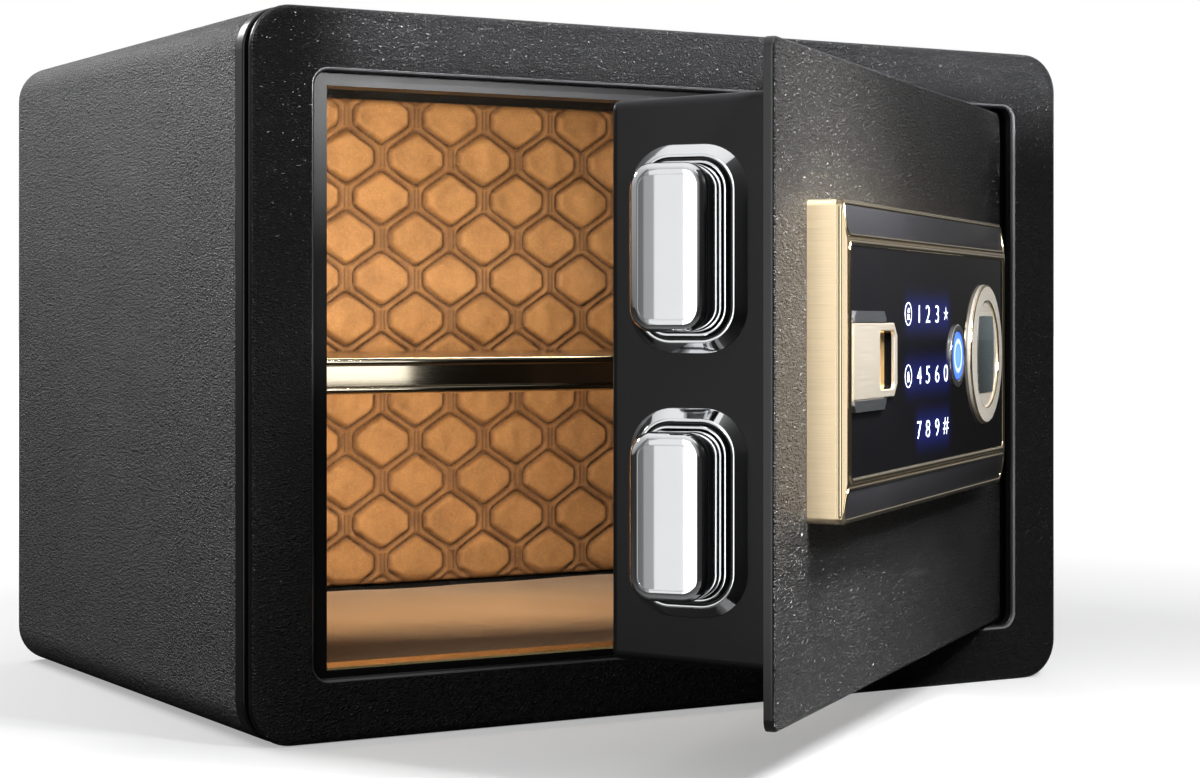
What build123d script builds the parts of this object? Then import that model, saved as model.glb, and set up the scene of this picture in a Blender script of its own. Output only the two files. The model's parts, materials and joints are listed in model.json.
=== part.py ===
from build123d import *
from math import acos, atan2, ceil, cos, pi, radians, sin, tan
import os

os.makedirs("parts", exist_ok=True)

# A small gun safe with its door standing open.
# Millimetres; +Z up, the door faces -Y, and the origin is the centre of the underside.
# Places are given as for the closed safe: x to the right, depth behind the front face, z up.
# Door pieces are drawn in that closed place and stand where the swing about the hinge puts them.

# ---------------------------------------------------------------- driving sizes: body

body_width = 350.0
body_height = 250.0
body_depth = 250.0
body_corner = 15.0
wall = 2.0
wrap_round = 0.9
weld_gap = 0.15  # welded pieces stand this far inside the wrap
soft_gap = 0.3  # linings stand this far off the steel

frame_thickness = 4.0
frame_round = 2.8
frame_back_round = 0.8
groove_width = 4.5
groove_depth = 3.0
spigot_length = 10.0
spigot_wall = 4.0

frame_side = 23.0
frame_end = 22.0
opening_corner = 5.0
opening_bevel = 1.2

stop_sheet = 1.5
stop_landing = 6.0
stop_latch = 6.0
stop_top = 4.5
stop_foot = 2.2
stop_return = 10.0
trim_sheet = 0.8

back_sheet = 2.0
back_recess = 1.0
anchor_hole_radius = 5.0
anchor_access_radius = 8.0
back_anchor_spacing = 260.0
back_anchor_height = 62.0
floor_anchor_spacing = 200.0
floor_anchor_depth = 130.0

lining_thickness = 6.0
lining_corner = 12.0
lining_side_gap = 5.0

shelf_sheet = 1.5
shelf_height = 129.5
shelf_front_gap = 3.0
shelf_lip = 13.6
shelf_bead_radius = 1.6
shelf_side_gap = 1.5
rail_sheet = 1.5
rail_width = 15.0
rail_height = 14.0
rail_end_gap = 12.0

keeper_sheet = 2.0
keeper_round = 1.8
keeper_wall_gap = 4.0
keeper_stand_off = 23.0
keeper_slot_margin = 1.5
keeper_slot_corner = 3.0
keeper_end_margin = 18.0

# ---------------------------------------------------------------- driving sizes: hinge

door_open = 37.5
hinge_inset = 12.5
hinge_depth = 8.0
hinge_pin_radius = 3.0
pin_chamfer = 0.5
running_gap = 0.05
bracket_width = 16.0
bracket_depth = 10.0
bracket_height = 12.0
lug_width = 15.0
lug_height = 16.0
lug_nose = 2.0
lug_swing_gap = 2.0
lug_gap = 0.3
guard_sheet = 1.5
guard_gap = 2.0
guard_depth = 21.0
guard_lap = 24.0

# ---------------------------------------------------------------- driving sizes: door

plate_front = 0.2
plate_thickness = 3.5
plate_latch_gap = 1.5
plate_hinge_gap = 2.0
plate_end_gap = 1.5
plate_corner = 4.0
plate_round = 1.2
cable_window = (24.0, 12.0)
cable_window_corner = 4.0

case_latch_inset = 30.5
case_hinge_inset = 31.0
case_end_inset = 12.5
case_depth = 59.2
case_sheet = 1.5
case_draft = 2.2
case_corner = 3.0
case_round = 2.0

post_radius = 4.0
post_inset_x = 15.0
post_inset_z = 10.0
screw_radius = 2.0
screw_clearance = 0.15
screw_length = 12.0
screw_end_gap = 1.0
screw_head_radius = 3.8
screw_head_height = 2.2

# ---------------------------------------------------------------- driving sizes: boltwork

bolt_width = 25.0
bolt_height = 51.0
bolt_corner = 7.5
bolt_length = 48.5
bolt_round = 3.5
bolt_centre_depth = 37.5
bolt_spacing = 81.0
bolt_reach = 21.5
bolt_gap = 0.4

collar_wall = 0.9
collar_height = 5.0
channel_width = 1.2
channel_depth = 1.8
rim_width = 1.0
rim_height = 3.2
bevel_width = 3.2

guide_margin = 5.0
guide_thickness = 6.0

bar_thickness = 6.0
bar_margin = 3.0
bar_overlap = 18.5
rack_depth = 30.3
rack_thickness = 6.0
rack_arm_height = 10.0
rack_tooth_count = 13
rack_lead = 26.0

gear_module = 1.0
pinion_teeth = 16
pressure_angle = 20.0
backlash = 0.3
rack_addendum = 0.85
pinion_addendum = 0.95
dedendum = 1.3
pinion_offset_x = 43.0
pinion_rise = 11.0
pinion_side_gap = 0.2

motor_radius = 12.0
motor_flat = 18.0
motor_length = 16.0
gearbox_length = 7.6
motor_shaft_radius = 2.0
bracket_sheet = 2.0
bracket_plate_width = 62.0
bracket_plate_height = 70.0
bracket_post_radius = 3.0
bracket_post_inset = 6.0
rack_guide_length = 40.0
rack_guide_wall = 3.0
slide_gap = 0.3

# ---------------------------------------------------------------- driving sizes: lock panel

panel_width = 219.0
panel_height = 98.0
panel_rise = 12.6
panel_edge_rise = 10.6
panel_band = 12.5
panel_latch_inset = 32.0
panel_lift = 6.0
panel_corner = 2.0
panel_rim = 2.4

glass_thickness = 2.2
glass_corner = 1.5
glass_sink = 0.2
inset_thickness = 1.0
inset_margin = 1.6
inset_fit = 0.1

well_width = 45.0
well_height = 19.0
well_depth = 3.0
well_from_edge = 4.0
board_drop = 3.0
board_width = 100.0
board_height = 60.0
board_from_well = 4.0

cover_width = 51.5
cover_height = 23.4
cover_thickness = 1.0
cover_gap = 0.3
cover_chamfer = 4.0
cover_tongue = 1.3
cover_tongue_thickness = 0.4
finger_slot_width = 17.5
finger_slot_height = 18.5
finger_slot_from_end = 3.8
cover_guide_length = 37.0
cover_guide_height = 3.4
cover_guide_lip = 0.4
cover_guide_slant = 2.2
cover_from_edge = 1.0
cover_bevel = 0.3

sensor_ring_radius = 25.5
sensor_dish_radius = 19.8
sensor_from_hinge_side = 36.0
sensor_ring_height = 1.6
sensor_width = 26.0
sensor_height = 28.0
sensor_recess = 0.9
sensor_base = 0.4
sensor_bulge = 2.0

wake_ring_radius = 11.0
wake_button_radius = 8.4
wake_from_sensor = 42.8
wake_ring_height = 1.0
wake_travel = 0.8
wake_flange_gap = 0.2
button_gap = 0.3

key_from_edge = 13.5
cylinder_radius = 8.5
cylinder_length = 27.0
cylinder_proud = 2.0
plug_radius = 6.2
keyway_width = 1.8
keyway_height = 8.0
keyway_depth = 12.0
nut_radius = 12.0
nut_thickness = 4.5
tail_side = 5.0
cam_stand_off = 3.2
cam_thickness = 2.4
cam_length = 15.0
cam_width = 8.0

# ---------------------------------------------------------------- driving sizes: electrics

board_sheet = 1.6
control_board_width = 78.0
control_board_height = 38.0
control_from_hinge_side = 60.0
control_from_top = 33.0
stand_off_radius = 2.5
stand_off_height = 8.0

cell_radius = 7.1
cell_length = 48.5
cell_nub_radius = 2.7
cell_nub_length = 1.6
cell_pitch = 14.6
cell_count = 4
cell_gap = 0.2
box_wall = 1.5
box_end = 4.5
battery_offset_x = 57.0
cover_lap = 3.0
battery_cover_sheet = 1.6
battery_rail_lip = 1.4
grip_width = 1.6

reset_radius = 3.0
reset_travel = 1.5
reset_body = 12.0
reset_body_depth = 7.0
reset_from_hinge_side = 18.0
reset_from_top = 22.0

# ---------------------------------------------------------------- places worked out from them

front = -body_depth / 2
mid = body_height / 2
inner_x = body_width / 2 - wall
inner_corner = body_corner - wall
wrap_front = frame_thickness + groove_width
spigot_inset = wall + weld_gap
inside_width = body_width - 2 * spigot_inset
inside_height = body_height - 2 * spigot_inset
mouth_inset = spigot_inset + spigot_wall

opening_width = body_width - 2 * frame_side
opening_height = body_height - 2 * frame_end
latch_edge = -opening_width / 2
hinge_edge = opening_width / 2
opening_top = mid + opening_height / 2
opening_foot = mid - opening_height / 2
hinge_x = hinge_edge - hinge_inset
swept_radius = lug_width / 2 + lug_nose
stop_end = hinge_x - swept_radius - lug_swing_gap
stop_back = frame_thickness + stop_sheet + stop_return

plate_left = latch_edge + plate_latch_gap
plate_right = hinge_edge - plate_hinge_gap
plate_top = opening_top - plate_end_gap
plate_foot = opening_foot + plate_end_gap
plate_width = plate_right - plate_left
plate_height = plate_top - plate_foot
plate_centre = (plate_left + plate_right) / 2
plate_back = plate_front + plate_thickness

case_left = plate_left + case_latch_inset
case_right = plate_right - case_hinge_inset
case_top = plate_top - case_end_inset
case_foot = plate_foot + case_end_inset
case_back = plate_back + case_depth
case_floor = case_back - case_sheet

bolt_tip = case_left - bolt_reach
bolt_root = bolt_tip + bolt_length
bar_right = bolt_root + bar_thickness
bolt_heights = (mid + bolt_spacing / 2, mid - bolt_spacing / 2)

pinion_radius = gear_module * pinion_teeth / 2
pinion_x = bar_right + pinion_offset_x - bar_thickness
pinion_z = mid + pinion_rise
rack_pitch_z = pinion_z - pinion_radius
rack_root_z = rack_pitch_z - dedendum
rack_arm_foot = rack_root_z - rack_arm_height
rack_back = rack_depth + rack_thickness
bracket_back = rack_depth - slide_gap
bracket_face = bracket_back - bracket_sheet

panel_left = plate_left + panel_latch_inset
panel_right = panel_left + panel_width
panel_x = (panel_left + panel_right) / 2
panel_z = mid + panel_lift
panel_face = plate_front - panel_rise
glass_face = panel_face + glass_sink
glass_back = glass_face + glass_thickness
glass_width = panel_width - 2 * panel_rim
glass_height = panel_height - 2 * panel_band
glass_left = panel_left + panel_rim
well_left = glass_left + well_from_edge
well_right = well_left + well_width
well_floor = glass_back + well_depth
board_x = well_right + board_from_well + board_width / 2
cover_back = glass_face - cover_gap
key_x = glass_left + key_from_edge
sensor_x = panel_right - sensor_from_hinge_side
wake_x = sensor_x - wake_from_sensor


def turned(x, depth, swing):
    """Where a point of the closed safe stands once the door has swung open."""
    across, along = x - hinge_x, depth - hinge_depth
    turn_cos, turn_sin = cos(radians(swing)), sin(radians(swing))
    return (
        hinge_x + across * turn_cos - along * turn_sin,
        front + hinge_depth + across * turn_sin + along * turn_cos,
    )


def facing(depth, x=0.0, z=0.0, swing=0.0):
    """A plane parallel to the front face: local x to the right, local y up, normal to the viewer."""
    turn = radians(swing)
    across = (cos(turn), sin(turn), 0)
    return Plane(origin=(*turned(x, depth, swing), z), x_dir=across, z_dir=(sin(turn), -cos(turn), 0))


def sideways(x, depth=0.0, z=0.0, swing=0.0):
    """A plane across the width: local x is depth, local y is up, normal to the right."""
    turn = radians(swing)
    across = (cos(turn), sin(turn), 0)
    return Plane(origin=(*turned(x, depth, swing), z), x_dir=(-sin(turn), cos(turn), 0), z_dir=across)


def level(z, x=0.0, depth=0.0, swing=0.0):
    """A level plane: local x to the right, local y is depth, normal up."""
    turn = radians(swing)
    return Plane(origin=(*turned(x, depth, swing), z), x_dir=(cos(turn), sin(turn), 0), z_dir=(0, 0, 1))


# ---------------------------------------------------------------- body wrap

# One folded sheet makes the top, foot and both sides; the foot has the floor anchor holes.
floor_anchor_x = floor_anchor_spacing / 2
floor_anchors = ((-floor_anchor_x, floor_anchor_depth), (floor_anchor_x, floor_anchor_depth))
with BuildPart() as body_wrap:
    with BuildSketch(facing(wrap_front, z=mid)):
        RectangleRounded(body_width, body_height, body_corner)
        RectangleRounded(body_width - 2 * wall, body_height - 2 * wall, inner_corner, mode=Mode.SUBTRACT)
    extrude(amount=-(body_depth - wrap_front))
    fillet(body_wrap.faces().sort_by(Axis.Y)[0].outer_wire().edges(), radius=wrap_round)
    with BuildSketch(level(0)):
        with Locations(*floor_anchors):
            Circle(anchor_hole_radius)
    extrude(amount=wall, mode=Mode.SUBTRACT)
body_wrap.part.label = "body_wrap"
export_step(body_wrap.part, "parts/body_wrap.step")

# ---------------------------------------------------------------- front frame

# Front plate with the door opening; a sunk neck makes the shadow groove and a spigot fits inside the wrap.
with BuildPart() as front_frame:
    with BuildSketch(facing(0, z=mid)):
        RectangleRounded(body_width, body_height, body_corner)
    extrude(amount=-frame_thickness)
    fillet(front_frame.faces().sort_by(Axis.Y)[0].outer_wire().edges(), radius=frame_round)
    fillet(front_frame.faces().sort_by(Axis.Y)[-1].outer_wire().edges(), radius=frame_back_round)
    with BuildSketch(facing(frame_thickness, z=mid)):
        neck_width, neck_height = body_width - 2 * groove_depth, body_height - 2 * groove_depth
        RectangleRounded(neck_width, neck_height, body_corner - groove_depth)
    extrude(amount=-groove_width)
    with BuildSketch(facing(wrap_front, z=mid)):
        RectangleRounded(inside_width, inside_height, body_corner - spigot_inset)
    extrude(amount=-spigot_length)
    with BuildSketch(facing(frame_thickness, z=mid)):
        mouth_width, mouth_height = body_width - 2 * mouth_inset, body_height - 2 * mouth_inset
        RectangleRounded(mouth_width, mouth_height, body_corner - mouth_inset)
    extrude(amount=-(groove_width + spigot_length), mode=Mode.SUBTRACT)
    with BuildSketch(facing(0, z=mid)):
        RectangleRounded(opening_width, opening_height, opening_corner)
    extrude(amount=-frame_thickness, mode=Mode.SUBTRACT)
    chamfer(front_frame.faces().sort_by(Axis.Y)[0].inner_wires().edges(), length=opening_bevel)
front_frame.part.label = "front_frame"
export_step(front_frame.part, "parts/front_frame.step")

# ---------------------------------------------------------------- door stop, sill trim and hinge guard

stop_left_x = latch_edge + stop_latch
stop_top_z = opening_top - stop_top
stop_foot_z = opening_foot + stop_foot


def stop_outline(side, foot, top):
    """The stop's three-sided band, from the edge that shows in the doorway out to these distances beyond it."""
    return (
        (stop_end, stop_top_z),
        (stop_left_x, stop_top_z),
        (stop_left_x, stop_foot_z),
        (stop_end, stop_foot_z),
        (stop_end, stop_foot_z - foot),
        (stop_left_x - side, stop_foot_z - foot),
        (stop_left_x - side, stop_top_z + top),
        (stop_end, stop_top_z + top),
    )


# A folded angle behind the front plate: the door plate closes on its flange, and a lip runs back from it.
with BuildPart() as door_stop:
    with BuildSketch(facing(frame_thickness)):
        with BuildLine():
            reach = (stop_latch + stop_landing, stop_foot + stop_landing, stop_top + stop_landing)
            Polyline(*stop_outline(*reach), close=True)
        make_face()
    extrude(amount=-stop_sheet)
    with BuildSketch(facing(frame_thickness + stop_sheet)):
        with BuildLine():
            Polyline(*stop_outline(stop_sheet, stop_sheet, stop_sheet), close=True)
        make_face()
    extrude(amount=-stop_return)
door_stop.part.label = "door_stop"
export_step(door_stop.part, "parts/door_stop.step")

# A thin bright strip wraps the sill: it lies on the stop's lower lip and hooks over its back edge.
with BuildPart() as sill_trim:
    with BuildSketch(sideways(stop_left_x)):
        with BuildLine():
            Polyline(
                (frame_thickness + soft_gap, stop_foot_z),
                (frame_thickness + soft_gap, stop_foot_z + trim_sheet),
                (stop_back + trim_sheet, stop_foot_z + trim_sheet),
                (stop_back + trim_sheet, stop_foot_z - stop_sheet),
                (stop_back, stop_foot_z - stop_sheet),
                (stop_back, stop_foot_z),
                close=True,
            )
        make_face()
    extrude(amount=stop_end - stop_left_x)
sill_trim.part.label = "sill_trim"
export_step(sill_trim.part, "parts/sill_trim.step")

# An L-shaped sheet closes the pocket that the door plate's hinge edge swings into.
guard_left = hinge_edge + guard_gap
guard_half_height = opening_height / 2 + stop_landing
with BuildPart() as hinge_guard:
    with BuildSketch(level(mid - guard_half_height)):
        with BuildLine():
            Polyline(
                (guard_left, frame_thickness),
                (guard_left + guard_sheet, frame_thickness),
                (guard_left + guard_sheet, frame_thickness + guard_depth),
                (guard_left - guard_lap, frame_thickness + guard_depth),
                (guard_left - guard_lap, frame_thickness + guard_depth - guard_sheet),
                (guard_left, frame_thickness + guard_depth - guard_sheet),
                close=True,
            )
        make_face()
    extrude(amount=2 * guard_half_height)
hinge_guard.part.label = "hinge_guard"
export_step(hinge_guard.part, "parts/hinge_guard.step")

# ---------------------------------------------------------------- hinge brackets, lugs and pins

pin_bore = hinge_pin_radius + running_gap
lug_half = lug_width / 2
for name, bracket_foot in (("upper", opening_top), ("lower", opening_foot - bracket_height)):
    with BuildPart() as hinge_bracket:
        with BuildSketch(level(bracket_foot)):
            with BuildLine():
                bracket_front = frame_thickness
                bracket_shoulder = frame_thickness + bracket_depth - 2 * hinge_pin_radius
                Polyline(
                    (hinge_x - bracket_width / 2, bracket_shoulder),
                    (hinge_x - bracket_width / 2, bracket_front),
                    (hinge_x + bracket_width / 2, bracket_front),
                    (hinge_x + bracket_width / 2, bracket_shoulder),
                )
                ThreePointArc(
                    (hinge_x + bracket_width / 2, bracket_shoulder),
                    (hinge_x, frame_thickness + bracket_depth),
                    (hinge_x - bracket_width / 2, bracket_shoulder),
                )
            make_face()
            with Locations((hinge_x, hinge_depth)):
                Circle(pin_bore, mode=Mode.SUBTRACT)
        extrude(amount=bracket_height)
    hinge_bracket.part.label = f"hinge_bracket_{name}"
    export_step(hinge_bracket.part, f"parts/hinge_bracket_{name}.step")

# Each lug is welded to the back of the door plate and carries its pin, which turns in the bracket.
for name, lug_foot, pin_foot in (
    ("upper", opening_top - lug_gap - lug_height, opening_top - lug_gap - lug_height),
    ("lower", opening_foot + lug_gap, opening_foot - bracket_height + lug_gap),
):
    with BuildPart() as hinge_lug:
        with BuildSketch(level(lug_foot, swing=door_open)):
            with BuildLine():
                lug_shoulder = hinge_depth
                Polyline(
                    (hinge_x - lug_half, lug_shoulder),
                    (hinge_x - lug_half, plate_back),
                    (hinge_x + lug_half, plate_back),
                    (hinge_x + lug_half, lug_shoulder),
                )
                ThreePointArc(
                    (hinge_x + lug_half, lug_shoulder),
                    (hinge_x, lug_shoulder + hinge_pin_radius + lug_nose),
                    (hinge_x - lug_half, lug_shoulder),
                )
            make_face()
            with Locations((hinge_x, hinge_depth)):
                Circle(pin_bore, mode=Mode.SUBTRACT)
        extrude(amount=lug_height)
    hinge_lug.part.label = f"hinge_lug_{name}"
    export_step(hinge_lug.part, f"parts/hinge_lug_{name}.step")

    with BuildPart() as hinge_pin:
        with BuildSketch(level(pin_foot)):
            with Locations((hinge_x, hinge_depth)):
                Circle(hinge_pin_radius)
        extrude(amount=lug_height + bracket_height)
        chamfer(hinge_pin.edges().filter_by(GeomType.CIRCLE), length=pin_chamfer)
    hinge_pin.part.label = f"hinge_pin_{name}"
    export_step(hinge_pin.part, f"parts/hinge_pin_{name}.step")

# ---------------------------------------------------------------- back plate and bolt keeper

back_front = body_depth - back_recess - back_sheet
back_anchor_x = back_anchor_spacing / 2
back_anchors = ((-back_anchor_x, back_anchor_height), (back_anchor_x, back_anchor_height))
with BuildPart() as back_plate:
    with BuildSketch(facing(back_front, z=mid)):
        RectangleRounded(inside_width, inside_height, body_corner - spigot_inset)
    extrude(amount=-back_sheet)
    with BuildSketch(facing(back_front)):
        with Locations(*back_anchors):
            Circle(anchor_hole_radius)
    extrude(amount=-back_sheet, mode=Mode.SUBTRACT)
back_plate.part.label = "back_plate"
export_step(back_plate.part, "parts/back_plate.step")

# A channel on the latch-side wall; the bolts lock through its two slots.
keeper_front = stop_back + keeper_wall_gap
slot_width = bolt_width + 2 * keeper_slot_margin
slot_height = bolt_height + 2 * keeper_slot_margin
keeper_back = bolt_centre_depth + slot_width / 2 + keeper_wall_gap
keeper_height = bolt_spacing + slot_height + 2 * keeper_end_margin
keeper_face = -inner_x + keeper_stand_off
with BuildPart() as bolt_keeper:
    with BuildSketch(level(mid - keeper_height / 2)):
        with BuildLine():
            Polyline(
                (-inner_x, keeper_front),
                (keeper_face, keeper_front),
                (keeper_face, keeper_back),
                (-inner_x, keeper_back),
                (-inner_x, keeper_back - keeper_sheet),
                (keeper_face - keeper_sheet, keeper_back - keeper_sheet),
                (keeper_face - keeper_sheet, keeper_front + keeper_sheet),
                (-inner_x, keeper_front + keeper_sheet),
                close=True,
            )
        make_face()
    extrude(amount=keeper_height)
    outer_folds = bolt_keeper.edges().filter_by(Axis.Z).group_by(Axis.X)[-1]
    fillet(outer_folds, radius=keeper_round)
    with BuildSketch(sideways(keeper_face)):
        with Locations(*((bolt_centre_depth, height) for height in bolt_heights)):
            RectangleRounded(slot_width, slot_height, keeper_slot_corner)
    extrude(amount=-keeper_sheet, mode=Mode.SUBTRACT)
bolt_keeper.part.label = "bolt_keeper"
export_step(bolt_keeper.part, "parts/bolt_keeper.step")

# ---------------------------------------------------------------- floor pad and back lining

pad_front = wrap_front + spigot_length + soft_gap
pad_foot = wall + soft_gap
pad_half_width = inner_x - inner_corner
pad_top = stop_foot_z - soft_gap
pad_side = inner_x - soft_gap
guard_notch = (
    pad_side - guard_left + guard_lap + soft_gap,
    frame_thickness + guard_depth + soft_gap - pad_front,
)
with BuildPart() as floor_pad:
    with BuildSketch(facing(pad_front)):
        with BuildLine():
            pad_shoulder = wall + inner_corner
            Polyline((-pad_half_width, pad_foot), (pad_half_width, pad_foot))
            TangentArc((pad_half_width, pad_foot), (pad_side, pad_shoulder), tangent=(1, 0))
            Polyline((pad_side, pad_shoulder), (pad_side, pad_top), (-pad_side, pad_top), (-pad_side, pad_shoulder))
            TangentArc((-pad_half_width, pad_foot), (-pad_side, pad_shoulder), tangent=(-1, 0))
        make_face()
    extrude(amount=-(back_front - soft_gap - pad_front))
    with BuildSketch(level(pad_foot)):
        with Locations(*floor_anchors):
            Circle(anchor_access_radius)
        with Locations((pad_side, pad_front)):
            Rectangle(*guard_notch, align=(Align.MAX, Align.MIN))
    extrude(amount=pad_top - pad_foot, mode=Mode.SUBTRACT)
floor_pad.part.label = "floor_pad"
export_step(floor_pad.part, "parts/floor_pad.step")

lining_foot = pad_top + soft_gap
lining_top = body_height - wall - lining_side_gap
lining_front = back_front - soft_gap - lining_thickness
with BuildPart() as back_lining:
    with BuildSketch(facing(lining_front, z=(lining_foot + lining_top) / 2)):
        RectangleRounded(2 * (inner_x - lining_side_gap), lining_top - lining_foot, lining_corner)
    extrude(amount=-lining_thickness)
    with BuildSketch(facing(lining_front)):
        with Locations(*back_anchors):
            Circle(anchor_access_radius)
    extrude(amount=-lining_thickness, mode=Mode.SUBTRACT)
back_lining.part.label = "back_lining"
export_step(back_lining.part, "parts/back_lining.step")

# ---------------------------------------------------------------- shelf and its rails

battery_cover_face = case_back + slide_gap + battery_cover_sheet
shelf_front = battery_cover_face + battery_rail_lip + shelf_front_gap
shelf_back = lining_front - soft_gap
shelf_half_width = inner_x - shelf_side_gap
shelf_under = shelf_height - shelf_sheet
lip_foot = shelf_height - shelf_lip
with BuildPart() as shelf:
    with BuildSketch(sideways(-shelf_half_width)):
        with BuildLine():
            Polyline(
                (shelf_front, lip_foot),
                (shelf_front, shelf_height),
                (shelf_back, shelf_height),
                (shelf_back, shelf_under),
                (shelf_front + shelf_sheet, shelf_under),
                (shelf_front + shelf_sheet, lip_foot),
                close=True,
            )
        make_face()
        with Locations((shelf_front, shelf_height - shelf_bead_radius), (shelf_front, lip_foot + shelf_bead_radius)):
            Circle(shelf_bead_radius)
    extrude(amount=2 * shelf_half_width)
shelf.part.label = "shelf"
export_step(shelf.part, "parts/shelf.step")

for side, name in ((-1, "left"), (1, "right")):
    with BuildPart() as shelf_rail:
        with BuildSketch(facing(shelf_front + rail_end_gap)):
            with BuildLine():
                Polyline(
                    (side * inner_x, shelf_under),
                    (side * (inner_x - rail_width), shelf_under),
                    (side * (inner_x - rail_width), shelf_under - rail_sheet),
                    (side * (inner_x - rail_sheet), shelf_under - rail_sheet),
                    (side * (inner_x - rail_sheet), shelf_under - rail_height),
                    (side * inner_x, shelf_under - rail_height),
                    close=True,
                )
            make_face()
        extrude(amount=-(shelf_back - shelf_front - 2 * rail_end_gap))
    shelf_rail.part.label = f"shelf_rail_{name}"
    export_step(shelf_rail.part, f"parts/shelf_rail_{name}.step")

# ---------------------------------------------------------------- door plate with its posts

outward = Axis((0, 0, 0), (sin(radians(door_open)), -cos(radians(door_open)), 0))
rightward = Axis((0, 0, 0), (cos(radians(door_open)), sin(radians(door_open)), 0))
case_x = (case_left + case_right) / 2
post_spread_x = case_right - case_left - 2 * post_inset_x
post_spread_z = case_top - case_foot - 2 * post_inset_z
screw_hole = screw_radius + screw_clearance
cylinder_hole = cylinder_radius + button_gap

# Four posts welded to the back of the plate carry the case; the holes are for the key cylinder and the cable.
with BuildPart() as door_plate:
    with BuildSketch(facing(plate_front, plate_centre, mid, door_open)):
        RectangleRounded(plate_width, plate_height, plate_corner)
    extrude(amount=-plate_thickness)
    fillet(door_plate.faces().sort_by(outward)[-1].outer_wire().edges(), radius=plate_round)
    with BuildSketch(facing(plate_front, key_x, panel_z, door_open)):
        Circle(cylinder_hole)
        with Locations((wake_x - key_x, 0)):
            RectangleRounded(*cable_window, cable_window_corner)
    extrude(amount=-plate_thickness, mode=Mode.SUBTRACT)
    with BuildSketch(facing(plate_back, case_x, mid, door_open)):
        with GridLocations(post_spread_x, post_spread_z, 2, 2):
            Circle(post_radius)
    extrude(amount=-(case_floor - plate_back))
    with BuildSketch(facing(case_floor, case_x, mid, door_open)):
        with GridLocations(post_spread_x, post_spread_z, 2, 2):
            Circle(screw_hole)
    extrude(amount=screw_length, mode=Mode.SUBTRACT)
door_plate.part.label = "door_plate"
export_step(door_plate.part, "parts/door_plate.step")

# ---------------------------------------------------------------- door case

battery_x = case_right - battery_offset_x
bay_width = cell_count * cell_pitch + 2 * cell_gap
bay_height = cell_length + cell_nub_length + 2 * cell_gap
cover_back_depth = case_back + slide_gap
battery_cover_width = bay_width + 2 * cover_lap
battery_cover_height = bay_height + 2 * cover_lap
reset_x = case_right - reset_from_hinge_side
reset_z = case_top - reset_from_top


def case_section(inset, draft):
    """Width, height and centre of the case `inset` inside its skin; only the latch side has no draft."""
    width = case_right - case_left - 2 * inset - draft
    height = case_top - case_foot - 2 * inset - 2 * draft
    return width, height, case_left + inset + width / 2


# A drawn steel box, open at the plate: bolts pass through its latch side and the battery bay opens in its back.
with BuildPart() as door_case:
    for inset, depth, mode in ((0, case_back, Mode.ADD), (case_sheet, case_floor, Mode.SUBTRACT)):
        corner = case_corner - inset / 2
        near_width, near_height, near_x = case_section(inset, 0)
        far_width, far_height, far_x = case_section(inset, case_draft)
        with BuildSketch(facing(plate_back, near_x, mid, door_open)):
            RectangleRounded(near_width, near_height, corner)
        with BuildSketch(facing(depth, far_x, mid, door_open)):
            RectangleRounded(far_width, far_height, corner)
        loft(mode=mode)
        if mode == Mode.ADD:
            fillet(door_case.faces().sort_by(outward)[0].outer_wire().edges(), radius=case_round)
    for height in bolt_heights:
        with BuildSketch(sideways(case_left, bolt_centre_depth, height, door_open)):
            RectangleRounded(bolt_width + 2 * bolt_gap, bolt_height + 2 * bolt_gap, bolt_corner + bolt_gap)
        extrude(amount=2 * case_sheet, both=True, mode=Mode.SUBTRACT)
    with BuildSketch(facing(case_back, case_x, mid, door_open)):
        with GridLocations(post_spread_x, post_spread_z, 2, 2):
            Circle(screw_hole)
        with Locations((battery_x - case_x, 0)):
            Rectangle(bay_width, bay_height)
        with Locations((reset_x - case_x, reset_z - mid)):
            Circle(reset_radius + button_gap)
    extrude(amount=case_sheet, mode=Mode.SUBTRACT)
    for side in (-1, 1):
        rail_z = side * (battery_cover_height / 2 + slide_gap)
        with BuildSketch(sideways(battery_x - battery_cover_width / 2, swing=door_open)):
            with BuildLine():
                lip_depth = cover_back_depth + battery_cover_sheet + slide_gap
                lip_top = lip_depth + battery_rail_lip - slide_gap
                Polyline(
                    (case_back, mid + rail_z),
                    (lip_depth, mid + rail_z),
                    (lip_depth, mid + rail_z - side * cover_lap / 2),
                    (lip_top, mid + rail_z - side * cover_lap / 2),
                    (lip_top, mid + rail_z + side * case_sheet),
                    (case_back, mid + rail_z + side * case_sheet),
                    close=True,
                )
            make_face()
        extrude(amount=battery_cover_width)
door_case.part.label = "door_case"
export_step(door_case.part, "parts/door_case.step")

# One screw at each corner of the case back runs into its post.
for row, side_z in (("upper", 1), ("lower", -1)):
    for column, side_x in (("latch", -1), ("hinge", 1)):
        screw_x = case_x + side_x * post_spread_x / 2
        screw_z = mid + side_z * post_spread_z / 2
        with BuildPart() as case_screw:
            with BuildSketch(facing(case_back, screw_x, screw_z, door_open)):
                Circle(screw_head_radius)
            extrude(amount=-screw_head_height)
            chamfer(case_screw.edges().filter_by(GeomType.CIRCLE).sort_by(outward)[0], length=screw_head_height / 3)
            with BuildSketch(facing(case_back, screw_x, screw_z, door_open)):
                Circle(screw_radius)
            extrude(amount=case_sheet + screw_length - screw_end_gap)
            with BuildSketch(facing(case_back + screw_head_height, screw_x, screw_z, door_open)):
                RegularPolygon(screw_radius, 6)
            extrude(amount=screw_head_height / 2, mode=Mode.SUBTRACT)
        case_screw.part.label = f"case_screw_{row}_{column}"
        export_step(case_screw.part, f"parts/case_screw_{row}_{column}.step")

# ---------------------------------------------------------------- bolts, their surrounds and guides

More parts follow.
